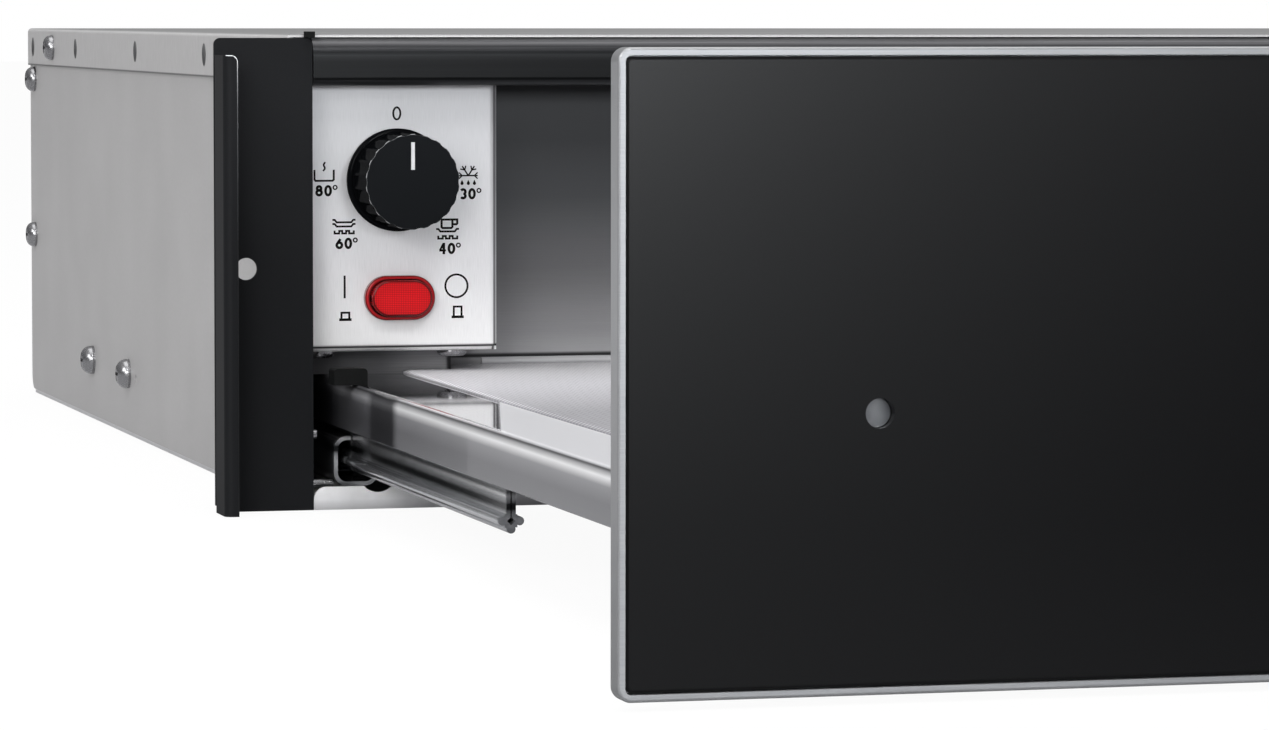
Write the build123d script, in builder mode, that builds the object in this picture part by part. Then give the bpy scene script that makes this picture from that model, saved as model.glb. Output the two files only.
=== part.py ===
from build123d import *
from math import cos, radians, sin
import os

# Built-in warming drawer, drawn with its drawer pulled out.
# X runs left to right, Y from the room into the niche, Z up, all in millimetres.
# The origin is in the middle of the niche's front edge, on the floor of the niche.

os.makedirs("parts", exist_ok=True)

# Clearances
sheet_fit = 0.1
slide_gap = 0.3
shaft_fit = 0.05
hole_fit = 0.2
flange_gap = 1.0

# How far a cut runs past the face it starts from
over_cut = 1.0

# The drawer is drawn pulled out by the casing's depth less this
travel_loss = 70.0

# Drawer front: an aluminium frame round a pane of black glass
front_width = 595.0
front_height = 140.0
front_lift = 1.5
frame_face = 1.7
frame_depth = 6.0
frame_radius = 3.1
frame_edge_radius = 0.7
frame_ledge = 4.0
ledge_thickness = 1.2
glass_gap = 0.35
glass_thickness = 4.0
glass_bevel = 0.6
lens_diameter = 6.6
lens_recess = 2.8
lens_collar = 10.0
backing_inset = 8.0
backing_depth = 7.5
backing_sheet = 1.0

# Black flanges that lie on the niche's front edges
flange_width = 29.7
flange_height = 141.0
flange_sheet = 1.2
strip_depth = 17.5
return_width = 4.1
return_drop = 5.0
bend_radius = 2.4
flange_corner = 2.0
fixing_diameter = 6.6
fixing_inset = 9.5
fixing_height = 72.4
front_gap = 1.5
pad_width = 2.4
pad_height = 1.9
pad_depth = 4.0

# Casing
body_inset = 23.0
body_depth = 520.0
wall_sheet = 1.0
wall_bottom = 1.8
wall_corner = 6.0
cover_sheet = 0.8
cover_top = 142.0
lip_height = 14.2
clinch_diameter = 7.4
clinch_depth = 0.6
cover_bend = 1.5
clinch_fronts = (138.0, 271.0)
clinch_rears = (117.0, 12.0)
base_sheet = 1.0
base_lip = 6.9
base_flange = 30.0
base_corner = 3.8
notch_width = 11.9
notch_depth = 1.9
notch_inset = 19.7
rear_flange = 18.0

# Screws: head diameter, head height, shank diameter
bolt_size = (10.3, 4.5, 5.0)
wall_screw_size = (9.5, 3.6, 4.0)
lip_screw_size = (9.4, 3.4, 4.0)
panel_screw_size = (9.2, 2.0, 3.5)
bolt_insets = (228.0, 150.0)
bolt_height = 22.0
pilot_diameter = 3.3
pilot_inset = 15.0
pilot_drop = 1.0
wall_screw_inset = 11.0
wall_screw_heights = (62.2, 122.4)
lip_screw_inset = 62.0
recess_width = 1.1
recess_share = 0.5
head_crown = 0.8

front_screw_size = (6.4, 1.8, 2.8)
front_screw_place = 3.5
front_screws = ((7.6, 13.4), (22.5, 8.4))

# Front rail across the top of the opening
rail_bottom = 126.7
rail_front = 2.4
rail_reach = 16.0
rail_crown = 5.5
rail_bend = 2.5

# Control compartment on the left
panel_setback = 12.0
panel_sheet = 1.0
panel_bottom = 46.4
panel_relief = 4.0
panel_reach = 59.8
panel_flange = 14.0
panel_bend = 2.5
box_depth = 118.0
controls_inset = 29.0
knob_inset = 28.4
knob_height = 98.2
switch_height = 62.6
panel_screw_insets = (5.8, 46.9)
panel_screw_setback = 6.5

# Temperature knob
knob_diameter = 28.5
skirt_diameter = 31.0
skirt_height = 2.5
knob_reach = 23.0
knob_gap = 0.6
flute_count = 22
flute_depth = 0.35
flute_radius = 4.0
flute_start = 1.7
pointer_width = 1.4
pointer_length = 8.2
pointer_depth = 0.5
pointer_inset = 2.4
shaft_diameter = 6.0
shaft_grip = 13.0
shaft_tail = 9.0
thermostat_width = 32.0
thermostat_depth = 27.0
bushing_diameter = 8.6
thermostat_height = 22.4
thermostat_corner = 2.0

# Illuminated push switch
bezel_width = 21.6
bezel_height = 13.4
bezel_proud = 2.6
bezel_round = 0.7
cap_width = 18.4
cap_height = 10.8
cap_proud = 5.8
cap_rim = 0.7
cap_step = 0.3
cap_depth = 14.0
cap_edge = 0.6
cap_travel = 3.0
switch_width = 20.2
switch_body_height = 12.4
switch_depth = 22.0
terminal_tab = 6.3
tab_sheet = 0.8

# Drawer tray and mat
tray_gap = 12.8
tray_top = 39.0
tray_sheet = 0.8
tray_skirt = 14.1
lip_rise = 2.9
lip_bend = 2.8
tray_bend = 2.5
rear_space = 9.4
mat_border = 25.8
mat_thickness = 1.0
mat_edge = (0.6, 1.2)
mat_radius = 6.0
back_clearance = 3.0
back_inset = 22.0
back_top = 126.2
back_sheet = 0.8
back_flange = 12.0
vent_count = 12
vent_pitch = 11.0
vent_width = 4.0
vent_height = 34.0
strip_insets = (4.3, 47.8)
strip_place = 24.0
panel_gap = 0.4
strip_sheet = 0.8
stop_inset = 1.3
stop_width = 10.0
stop_length = 8.0
stop_height = 4.9
stop_place = -26.0
stop_corner = 1.2
bracket_sheet = 2.0
bracket_width = 22.0
bracket_length = 46.0
bracket_inset = 28.6
bracket_low = 12.0
buffer_diameter = 8.0
buffer_inset = 14.5
buffer_heights = (25.0, 118.0)
buffer_round = 1.5
striker_width = 24.0

# Ball-bearing runners, three parts on each side
runner_inset = 20.6
runner_width = 13.6
runner_height = 15.0
runner_sheet = 1.2
runner_corner = 4.0
runner_slot = 3.3
cabinet_rail_low = 6.3
cabinet_rail_front = 8.0
cabinet_rail_inset = 50.0
middle_rail_setback = 25.0
middle_rail_short = 62.0
drawer_rail_setback = 19.0
drawer_rail_short = 22.0
web_thickness = 2.6
bulb_width = 7.1
bulb_height = 6.7
bulb_waist = 1.7
lobe_radius = 1.2
web_slit = 0.4
bulb_hole = 1.6
ball_diameter = 3.6
ball_offset_x = 3.3
ball_offset_z = 4.0
cage_width = 9.2
cage_sheet = 0.6
cage_height = 10.8
cage_length = 150.0
cage_stations = 4
lower_cage_setback = 27.0
upper_cage_setback = 22.0
support_front = 40.0
support_inset = 68.0
support_length = 26.0
support_sheet = 2.0

# Heating, fan and mains entry at the rear
heater_diameter = 6.5
heater_drop = 8.6
heater_front = 70.0
heater_inset = 50.0
heater_clearance = 38.0
heater_pitch = 60.0
heater_runs = 6
heater_bend = 22.0
heater_tail_inset = 20.0
clip_width = 8.0
clip_setback = 80.0
guard_sheet = 0.8
guard_gap = 0.95
guard_plate_front = 24.0
guard_slot = 8.0
guard_slot_pitch = 30.0
guard_border = 20.0
guard_bridge = 20.0
fan_size = 80.0
fan_corner = 4.0
fan_depth = 15.0
fan_x = 110.0
fan_low = 44.0
fan_bore = 74.0
fan_blade_reach = 35.5
fan_hub = 32.0
fan_hub_depth = 10.0
fan_blades = 7
fan_blade_sheet = 1.2
fan_blade_width = 8.0
fan_blade_twist = 40.0
fan_pin = 4.0
pin_setback = 2.0
hub_round = 1.5
fan_spoke = 6.0
rear_slot_count = 7
rear_slot_pitch = 10.0
rear_slot_height = 5.0
gland_inset = 45.5
gland_height = 100.0
gland_thread = 16.0
gland_bore = 8.0
gland_flange = 24.0
gland_length = 16.0
gland_dome = 19.2
gland_round = 2.0
gland_nut = 5.0
terminal_width = 36.0
terminal_height = 16.0
terminal_depth = 20.0
terminal_z = 62.0
terminal_ways = 3
latch_x = -120.0
latch_width = 22.0
latch_height = 16.0
latch_low = 46.0
latch_stem = 8.0
latch_travel = 3.0
latch_depth = 14.0
latch_corner = 2.0
plunger_round = 1.5

# Planes and edges worked out from these
travel = body_depth - travel_loss
front_half = front_width / 2
body_half = front_half - body_inset
wall_inner = body_half - wall_sheet
opening_half = front_half - flange_width
closed_frame_rear = -strip_depth - front_gap
frame_rear = closed_frame_rear - travel
backing_rear = frame_rear + backing_depth
front_low = front_lift
front_high = front_lift + front_height
front_middle = (front_low + front_high) / 2
cover_under = cover_top - cover_sheet
panel_front = panel_setback
panel_rear = panel_setback + panel_flange
panel_left = -wall_inner + sheet_fit
panel_right = -opening_half + panel_reach
controls_x = -opening_half + controls_inset
knob_x = -opening_half + knob_inset
panel_screw_places = tuple(-opening_half + inset for inset in panel_screw_insets)
panel_top = rail_bottom - hole_fit
box_rear = panel_front + box_depth
knob_face = panel_front - knob_reach
inner_rear = body_depth - wall_sheet
bolt_places = tuple(body_depth - inset for inset in bolt_insets)
support_places = (support_front, *bolt_places, body_depth - support_inset)
tray_half = wall_inner - tray_gap
tray_front = backing_rear + sheet_fit
tray_rear = inner_rear - rear_space - travel
back_front = tray_rear - back_flange
back_left = panel_right + back_clearance
back_right = tray_half - back_inset
strip_left, strip_right = (-opening_half + inset for inset in strip_insets)
bracket_place = tray_half - bracket_inset
mat_top = tray_top + mat_thickness
edge_top = panel_bottom - panel_gap
drawer_rail_low = tray_top - tray_sheet - sheet_fit - runner_height
lower_bulb_z = cabinet_rail_low + runner_height / 2
upper_bulb_z = drawer_rail_low + runner_height / 2
runner_x = -wall_inner + runner_inset
cabinet_rail_length = body_depth - cabinet_rail_inset - cabinet_rail_front
middle_rail_front = cabinet_rail_front + middle_rail_setback - travel / 2
middle_rail_length = cabinet_rail_length - middle_rail_short
drawer_rail_front = frame_rear + drawer_rail_setback
drawer_rail_length = cabinet_rail_length - drawer_rail_short
lower_cage_front = cabinet_rail_front + lower_cage_setback
upper_cage_front = middle_rail_front + upper_cage_setback
wall_screw_place = body_depth - wall_screw_inset
lip_screw_place = body_depth - lip_screw_inset
gland_x = -wall_inner + gland_inset
heater_left = panel_right + heater_clearance
heater_height = cover_under - heater_drop
guard_plate_height = heater_height - heater_diameter / 2 - guard_gap - guard_sheet
heater_rear = body_depth - heater_inset
heater_tail = body_depth - heater_tail_inset


def block(x, y, z, mode=Mode.ADD):
    """Box between low and high limits on each axis."""
    with Locations(((x[0] + x[1]) / 2, (y[0] + y[1]) / 2, (z[0] + z[1]) / 2)):
        Box(x[1] - x[0], y[1] - y[0], z[1] - z[0], mode=mode)


def front_plane(y):
    """Plane across the drawer at depth y: its axes are X and Z, and it faces the room."""
    return Plane(origin=(0, y, 0), x_dir=(1, 0, 0), z_dir=(0, -1, 0))


def side_plane(x):
    """Plane along the drawer at x: its axes are Y and Z, and it faces right."""
    return Plane(origin=(x, 0, 0), x_dir=(0, 1, 0), z_dir=(1, 0, 0))


def facing(x, y, z, direction):
    """Plane at a point, facing along a direction."""
    return Plane(origin=(x, y, z), z_dir=direction)


def round_bar(place, diameter, low, high, mode=Mode.ADD):
    """Cylinder about a plane's normal, from one distance along it to another."""
    with Locations(place.offset(low)):
        Cylinder(diameter / 2, high - low, align=(Align.CENTER, Align.CENTER, Align.MIN), mode=mode)


def pan_screw(place, size, shank_length):
    """Pan-head screw whose head stands on the plane, with a cross recess."""
    head_diameter, head_height, shank_diameter = size
    head = Cylinder(
        head_diameter / 2,
        head_height,
        align=(Align.CENTER, Align.CENTER, Align.MIN),
        mode=Mode.PRIVATE,
    )
    crown = head.edges().filter_by(GeomType.CIRCLE).group_by(Axis.Z)[-1]
    add(place.location * head.fillet(head_height * head_crown, crown))
    round_bar(place, shank_diameter, -shank_length, 0)
    with Locations(place.offset(head_height)):
        for turn in (0, 90):
            Box(
                head_diameter * recess_share,
                recess_width,
                head_height,
                rotation=(0, 0, turn),
                mode=Mode.SUBTRACT,
            )


def folded(place, points, radius, thickness, side):
    """Sheet section: a rounded line of points, thickened to one side."""
    with BuildSketch(place) as section:
        with BuildLine():
            FilletPolyline(*points, radius=radius)
            offset(amount=thickness, side=side)
        make_face()
    return section.sketch


def keep(piece, name):
    """Label a finished piece and write it."""
    piece.part.label = name
    export_step(piece.part, f"parts/{name}.step")


def keep_pair(piece, name):
    """Write a left-hand piece and its mirror image on the right."""
    keep(piece, f"{name}_left")
    with BuildPart() as mirrored:
        mirror(piece.part, about=Plane.YZ)
    keep(mirrored, f"{name}_right")


# ---------------------------------------------------------------- casing

with BuildPart() as base_panel:
    base_half = wall_inner - sheet_fit
    block((-base_half, base_half), (sheet_fit, inner_rear - sheet_fit), (0, base_sheet))
    lip_half = opening_half - sheet_fit
    block((-lip_half, lip_half), (-flange_sheet, sheet_fit), (0, base_sheet))
    block((-lip_half, lip_half), (-flange_sheet, base_sheet - flange_sheet), (0, base_lip))
    fillet(base_panel.edges().filter_by(Axis.Y).group_by(Axis.Z)[-1], radius=base_corner)
    for side in (-1, 1):
        edges = sorted((side * base_half, side * (base_half - base_sheet)))
        block(edges, (front_screw_place * 2, inner_rear - 2 * base_sheet), (0, base_flange))
        for place in bolt_places:
            drill = facing(side * base_half, place, bolt_height, (side, 0, 0))
            round_bar(drill, bolt_size[2] + hole_fit, -2 * base_sheet, base_sheet, Mode.SUBTRACT)
        notch_height = base_lip - notch_depth + notch_width / 2
        notch = facing(side * (opening_half - notch_inset), -flange_sheet, notch_height, (0, -1, 0))
        round_bar(notch, notch_width, -2 * base_sheet, base_sheet, Mode.SUBTRACT)
keep(base_panel, "base_panel")

with BuildPart() as side_panel:
    block((-body_half, -wall_inner), (0, body_depth), (wall_bottom, cover_under - sheet_fit))
    rear_low = side_panel.edges().filter_by(Axis.X).group_by(Axis.Y)[-1].sort_by(Axis.Z)[0]
    fillet(rear_low, radius=wall_corner)
    for place in bolt_places:
        drill = facing(-body_half, place, bolt_height, (-1, 0, 0))
        round_bar(drill, bolt_size[2] + hole_fit, -2 * wall_sheet, wall_sheet, Mode.SUBTRACT)
    round_bar(
        facing(-body_half, bolt_places[0] - pilot_inset, bolt_height - pilot_drop, (-1, 0, 0)),
        pilot_diameter,
        -2 * wall_sheet,
        wall_sheet,
        Mode.SUBTRACT,
    )
    for height in wall_screw_heights:
        drill = facing(-body_half, wall_screw_place, height, (-1, 0, 0))
        round_bar(drill, wall_screw_size[2] + hole_fit, -2 * wall_sheet, wall_sheet, Mode.SUBTRACT)
    for height, length in front_screws:
        drill = facing(-body_half, front_screw_place, height, (-1, 0, 0))
        round_bar(drill, front_screw_size[2] + hole_fit, -2 * wall_sheet, wall_sheet, Mode.SUBTRACT)
    lip_middle = cover_top - lip_height / 2
    drill = facing(-body_half, lip_screw_place, lip_middle, (-1, 0, 0))
    round_bar(drill, lip_screw_size[2] + hole_fit, -2 * wall_sheet, wall_sheet, Mode.SUBTRACT)
keep_pair(side_panel, "side_panel")

with BuildPart() as rear_panel:
    rear_half = wall_inner - sheet_fit
    rear_low = base_sheet + sheet_fit
    rear_high = cover_under - sheet_fit
    block((-rear_half, rear_half), (inner_rear, body_depth), (rear_low, rear_high))
    for side in (-1, 1):
        edges = sorted((side * rear_half, side * (rear_half - wall_sheet)))
        block(edges, (inner_rear - rear_flange, inner_rear), (base_flange + flange_gap, rear_high))
        for height in wall_screw_heights:
            drill = facing(side * rear_half, wall_screw_place, height, (side, 0, 0))
            round_bar(drill, wall_screw_size[2] + hole_fit, -2 * wall_sheet, wall_sheet, Mode.SUBTRACT)
    fan_middle = fan_low + fan_size / 2
    vent_stack = front_plane(body_depth + wall_sheet)
    with BuildSketch(vent_stack):
        for row in range(rear_slot_count):
            level = fan_middle + (row - (rear_slot_count - 1) / 2) * rear_slot_pitch
            half_rise = abs(level - fan_middle)
            slot_length = 2 * (max(0, (fan_bore / 2) ** 2 - half_rise**2)) ** 0.5
            with Locations((fan_x, level)):
                SlotOverall(max(slot_length, 3 * rear_slot_height), rear_slot_height)
    extrude(amount=3 * wall_sheet, mode=Mode.SUBTRACT)
    round_bar(
        facing(gland_x, body_depth, gland_height, (0, 1, 0)),
        gland_thread + hole_fit,
        -2 * wall_sheet,
        wall_sheet,
        Mode.SUBTRACT,
    )
keep(rear_panel, "rear_panel")

with BuildPart() as top_cover:
    cover_half = body_half + cover_sheet
    block((-cover_half, cover_half), (0, body_depth + cover_sheet), (cover_under, cover_top))
    cover_low = cover_top - lip_height
    for side in (-1, 1):
        edges = sorted((side * body_half, side * cover_half))
        block(edges, (0, body_depth + cover_sheet), (cover_low, cover_top))
    block((-cover_half, cover_half), (body_depth, body_depth + cover_sheet), (cover_low, cover_top))
    long_edges = top_cover.edges().filter_by(Axis.Y).group_by(Axis.Z)[-1]
    fillet(long_edges, radius=cover_bend)
    for side in (-1, 1):
        for place in (*clinch_fronts, *(body_depth - inset for inset in clinch_rears)):
            press = facing(side * cover_half, place, lip_middle, (side, 0, 0))
            round_bar(press, clinch_diameter, -clinch_depth, cover_sheet, Mode.SUBTRACT)
        drill = facing(side * cover_half, lip_screw_place, lip_middle, (side, 0, 0))
        round_bar(drill, lip_screw_size[2] + hole_fit, -2 * cover_sheet, cover_sheet, Mode.SUBTRACT)
keep(top_cover, "top_cover")

with BuildPart() as body_screws:
    for side in (-1, 1):
        outward = (side, 0, 0)
        for height in wall_screw_heights:
            pan_screw(
                facing(side * body_half, wall_screw_place, height, outward),
                wall_screw_size,
                2 * wall_sheet + wall_screw_size[1],
            )
        pan_screw(
            facing(side * (body_half + cover_sheet), lip_screw_place, lip_middle, outward),
            lip_screw_size,
            wall_sheet + cover_sheet + lip_screw_size[1],
        )
        for place in bolt_places:
            pan_screw(
                facing(side * body_half, place, bolt_height, outward),
                bolt_size,
                wall_sheet + base_sheet + support_sheet + bolt_size[1],
            )
        for height, length in front_screws:
            pan_screw(facing(side * body_half, front_screw_place, height, outward), front_screw_size, length)
keep(body_screws, "body_screws")

with BuildPart() as front_flange:
    outline = (
        (-opening_half, 0),
        (-front_half, 0),
        (-front_half, -strip_depth),
        (-front_half + return_width, -strip_depth),
    )
    return_top = flange_height - return_drop
    section = folded(Plane.XY, outline, bend_radius, flange_sheet, Side.LEFT)
    extrude(section, amount=return_top)
    end_edges = front_flange.edges().filter_by(Axis.Y).group_by(Axis.Z)[-1].sort_by(Axis.X)
    fillet(end_edges[-2], radius=flange_corner)
    block((-front_half, -opening_half), (-flange_sheet, 0), (flange_corner, flange_height))
    plate_corners = front_flange.edges().filter_by(Axis.Y).group_by(Axis.Z)[-1]
    fillet(plate_corners, radius=flange_corner)
    round_bar(
        facing(-front_half + fixing_inset, 0, fixing_height, (0, -1, 0)),
        fixing_diameter,
        -flange_sheet,
        2 * flange_sheet,
        Mode.SUBTRACT,
    )
keep_pair(front_flange, "front_flange")

with BuildPart() as corner_pads:
    for side in (-1, 1):
        edges = sorted((side * (opening_half + pad_width), side * opening_half))
        pad_level = (flange_height + sheet_fit, flange_height + pad_height)
        block(edges, (-pad_depth - flange_sheet, -sheet_fit), pad_level)
keep(corner_pads, "corner_pads")

with BuildPart() as top_rail:
    rail_top = cover_under - sheet_fit
    rail_half = opening_half - sheet_fit
    block((-rail_half, rail_half), (-rail_front, rail_reach), (rail_bottom, rail_top))
    front_edges = top_rail.faces().sort_by(Axis.Y)[0].edges().filter_by(Axis.X)
    fillet(front_edges.sort_by(Axis.Z)[-1:], radius=rail_crown)
    front_edges = top_rail.faces().sort_by(Axis.Y)[0].edges().filter_by(Axis.X)
    fillet(front_edges.sort_by(Axis.Z)[:1], radius=rail_bend)
    open_faces = top_rail.faces().sort_by(Axis.Y)[-1:] + top_rail.faces().filter_by(Axis.X)
    offset(amount=-panel_sheet, openings=open_faces)
keep(top_rail, "top_rail")

# ---------------------------------------------------------------- control compartment

with BuildPart() as control_panel:
    block((panel_left, panel_right), (panel_front, panel_rear), (panel_bottom, panel_top))
    front_edges = control_panel.faces().sort_by(Axis.Y)[0].edges()
    bent = front_edges.sort_by(Axis.Z)[:1] + front_edges.sort_by(Axis.X)[-1:]
    fillet(bent, radius=panel_bend)
    open_faces = (
        control_panel.faces().sort_by(Axis.Y)[-1:]
        + control_panel.faces().sort_by(Axis.Z)[-1:]
        + control_panel.faces().sort_by(Axis.X)[:1]
    )
    offset(amount=-panel_sheet, openings=open_faces)
    round_bar(
        facing(knob_x, panel_front, knob_height, (0, -1, 0)),
        bushing_diameter + hole_fit,
        -2 * panel_sheet,
        panel_sheet,
        Mode.SUBTRACT,
    )
    with BuildSketch(front_plane(panel_front + 2 * panel_sheet)):
        with Locations((controls_x, switch_height)):
            SlotOverall(switch_width + 2 * hole_fit, switch_body_height + 2 * hole_fit)
    extrude(amount=3 * panel_sheet, mode=Mode.SUBTRACT)
    relief = facing(panel_right, panel_front, panel_bottom, (0, -1, 0))
    round_bar(relief, panel_relief, -panel_bend, panel_sheet, Mode.SUBTRACT)
    for place in panel_screw_places:
        round_bar(
            facing(place, panel_front + panel_screw_setback, panel_bottom, (0, 0, -1)),
            panel_screw_size[2] + hole_fit,
            -2 * panel_sheet,
            panel_sheet,
            Mode.SUBTRACT,
        )
keep(control_panel, "control_panel")

with BuildPart() as control_box:
    box_front = panel_rear + sheet_fit
    block((panel_left, panel_right), (box_front, box_rear), (panel_bottom, panel_top))
    block(
        (panel_left - panel_sheet, panel_right - panel_sheet),
        (box_front - panel_sheet, box_rear - panel_sheet),
        (panel_bottom + panel_sheet, panel_top + panel_sheet),
        Mode.SUBTRACT,
    )
keep(control_box, "control_box")

with BuildPart() as panel_screws:
    for place in panel_screw_places:
        pan_screw(
            facing(place, panel_front + panel_screw_setback, panel_bottom, (0, 0, -1)),
            panel_screw_size,
            5 * panel_sheet,
        )
keep(panel_screws, "panel_screws")

# ---------------------------------------------------------------- knob and thermostat

with BuildPart() as knob:
    skirt_rear = panel_front - knob_gap
    knob_axis = facing(knob_x, skirt_rear, knob_height, (0, -1, 0))
    knob_length = skirt_rear - knob_face
    round_bar(knob_axis, skirt_diameter, 0, skirt_height)
    fillet(knob.edges().filter_by(GeomType.CIRCLE).group_by(Axis.Y)[0], radius=skirt_height / 3)
    with Locations(knob_axis.offset(skirt_height - skirt_height / 3)):
        Cone(
            knob_diameter / 2 + flute_depth / 2,
            knob_diameter / 2,
            knob_length - skirt_height + skirt_height / 3,
            align=(Align.CENTER, Align.CENTER, Align.MIN),
        )
    fillet(knob.edges().filter_by(GeomType.CIRCLE).group_by(Axis.Y)[0], radius=flute_depth)
    for step in range(flute_count):
        turn = radians((step + 0.5) * 360 / flute_count)
        reach = knob_diameter / 2 + flute_radius - flute_depth
        groove = facing(
            knob_x + reach * sin(turn), skirt_rear, knob_height + reach * cos(turn), (0, -1, 0)
        )
        flute_low = skirt_height + flute_start
        round_bar(groove, 2 * flute_radius, flute_low, knob_length + over_cut, Mode.SUBTRACT)
    round_bar(knob_axis, shaft_diameter + hole_fit, -over_cut, shaft_grip, Mode.SUBTRACT)
    pointer_high = knob_height + knob_diameter / 2 - pointer_inset
    block(
        (knob_x - pointer_width / 2, knob_x + pointer_width / 2),
        (knob_face - over_cut, knob_face + pointer_depth),
        (pointer_high - pointer_length, pointer_high),
        Mode.SUBTRACT,
    )
keep(knob, "knob")

with BuildPart() as knob_pointer:
    block(
        (knob_x - pointer_width / 2, knob_x + pointer_width / 2),
        (knob_face - sheet_fit, knob_face + pointer_depth),
        (pointer_high - pointer_length, pointer_high),
    )
keep(knob_pointer, "knob_pointer")

with BuildPart() as knob_shaft:
    shaft_end = panel_front + panel_sheet + shaft_tail
    round_bar(
        facing(knob_x, shaft_end, knob_height, (0, -1, 0)),
        shaft_diameter,
        0,
        shaft_end - skirt_rear + shaft_grip - hole_fit,
    )
keep(knob_shaft, "knob_shaft")

with BuildPart() as thermostat:
    thermostat_front = panel_front + panel_sheet
    half = thermostat_width / 2
    block(
        (knob_x - half, knob_x + half),
        (thermostat_front, thermostat_front + thermostat_depth),
        (knob_height - thermostat_height / 2, knob_height + thermostat_height / 2),
    )
    fillet(thermostat.edges().filter_by(Axis.Y), radius=thermostat_corner)
    bushing = facing(knob_x, thermostat_front, knob_height, (0, -1, 0))
    round_bar(bushing, bushing_diameter, 0, panel_sheet)
    for tab in (-1, 1):
        middle = knob_x + tab * half / 2
        block(
            (middle - terminal_tab / 2, middle + terminal_tab / 2),
            (thermostat_front + thermostat_depth, thermostat_front + thermostat_depth + terminal_tab),
            (knob_height - tab_sheet / 2, knob_height + tab_sheet / 2),
        )
    round_bar(bushing, shaft_diameter + 2 * shaft_fit, -shaft_tail - hole_fit, 2 * panel_sheet, Mode.SUBTRACT)
keep(thermostat, "thermostat")

# ---------------------------------------------------------------- push switch

with BuildPart() as switch_bezel:
    with BuildSketch(front_plane(panel_front)):
        with Locations((controls_x, switch_height)):
            SlotOverall(bezel_width, bezel_height)
    extrude(amount=bezel_proud)
    fillet(switch_bezel.faces().sort_by(Axis.Y)[0].edges(), radius=bezel_round)
    with BuildSketch(front_plane(panel_front)):
        with Locations((controls_x, switch_height)):
            SlotOverall(cap_width + 2 * slide_gap, cap_height + 2 * slide_gap)
    extrude(amount=2 * bezel_proud, mode=Mode.SUBTRACT)
keep(switch_bezel, "switch_bezel")

with BuildPart() as switch_housing:
    block(
        (controls_x - switch_width / 2, controls_x + switch_width / 2),
        (panel_front + panel_sheet, panel_front + switch_depth),
        (switch_height - switch_body_height / 2, switch_height + switch_body_height / 2),
    )
    with BuildSketch(front_plane(panel_front + 2 * panel_sheet)):
        with Locations((controls_x, switch_height)):
            SlotOverall(switch_width, switch_body_height)
    extrude(amount=2 * panel_sheet)
    with BuildSketch(front_plane(panel_front)):
        with Locations((controls_x, switch_height)):
            SlotOverall(cap_width + 2 * slide_gap, cap_height + 2 * slide_gap)
    cap_rear = panel_front - cap_proud + cap_depth
    extrude(amount=-(cap_rear + cap_travel + slide_gap - panel_front), mode=Mode.SUBTRACT)
    for tab in (-1, 1):
        middle = controls_x + tab * switch_width / 4
        block(
            (middle - terminal_tab / 2, middle + terminal_tab / 2),
            (panel_front + switch_depth, panel_front + switch_depth + terminal_tab),
            (switch_height - tab_sheet / 2, switch_height + tab_sheet / 2),
        )
keep(switch_housing, "switch_housing")

with BuildPart() as switch_cap:
    cap_face = panel_front - cap_proud
    with BuildSketch(front_plane(cap_rear)):
        with Locations((controls_x, switch_height)):
            SlotOverall(cap_width, cap_height)
    extrude(amount=cap_depth - cap_step)
    fillet(switch_cap.faces().sort_by(Axis.Y)[0].edges(), radius=cap_edge)
    with BuildSketch(front_plane(cap_rear)):
        with Locations((controls_x, switch_height)):
            SlotOverall(cap_width - 2 * cap_rim, cap_height - 2 * cap_rim)
    extrude(amount=cap_depth)
keep(switch_cap, "switch_cap")

# ---------------------------------------------------------------- drawer front

def front_outline(place, inset, radius):
    """Rounded rectangle of the drawer front, inset on every side."""
    with BuildSketch(place) as outline:
        with Locations((0, front_middle)):
            RectangleRounded(front_width - 2 * inset, front_height - 2 * inset, radius)
    return outline.sketch


with BuildPart() as front_frame:
    extrude(front_outline(front_plane(frame_rear), 0, frame_radius), amount=frame_depth)
    fillet(front_frame.faces().sort_by(Axis.Y)[0].edges(), radius=frame_edge_radius)
    pocket = front_outline(front_plane(frame_rear - ledge_thickness), frame_face, frame_radius - frame_face)
    extrude(pocket, amount=frame_depth, mode=Mode.SUBTRACT)
    window = front_outline(front_plane(frame_rear), frame_face + frame_ledge, frame_radius)
    extrude(window, amount=frame_depth, both=True, mode=Mode.SUBTRACT)
keep(front_frame, "front_frame")

with BuildPart() as glass_panel:
    glass_rear = frame_rear - ledge_thickness - sheet_fit
    pane = front_outline(front_plane(glass_rear), frame_face + glass_gap, frame_radius - frame_face)
    extrude(pane, amount=glass_thickness)
    chamfer(glass_panel.faces().sort_by(Axis.Y)[0].edges(), length=glass_bevel / 4, length2=glass_bevel)
    round_bar(
        facing(controls_x, glass_rear, switch_height, (0, -1, 0)),
        lens_diameter,
        -over_cut,
        2 * glass_thickness,
        Mode.SUBTRACT,
    )
keep(glass_panel, "glass_panel")

with BuildPart() as front_backing:
    backing_front = frame_rear + sheet_fit
    pan = front_outline(front_plane(backing_rear), backing_inset, frame_radius)
    extrude(pan, amount=backing_rear - backing_front)
    hollow_inset = backing_inset + backing_sheet
    hollow = front_outline(front_plane(backing_rear - backing_sheet), hollow_inset, frame_radius)
    extrude(hollow, amount=backing_depth, mode=Mode.SUBTRACT)
    round_bar(
        facing(controls_x, backing_rear, switch_height, (0, -1, 0)),
        lens_diameter + hole_fit,
        -over_cut,
        2 * backing_sheet,
        Mode.SUBTRACT,
    )
keep(front_backing, "front_backing")

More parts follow.
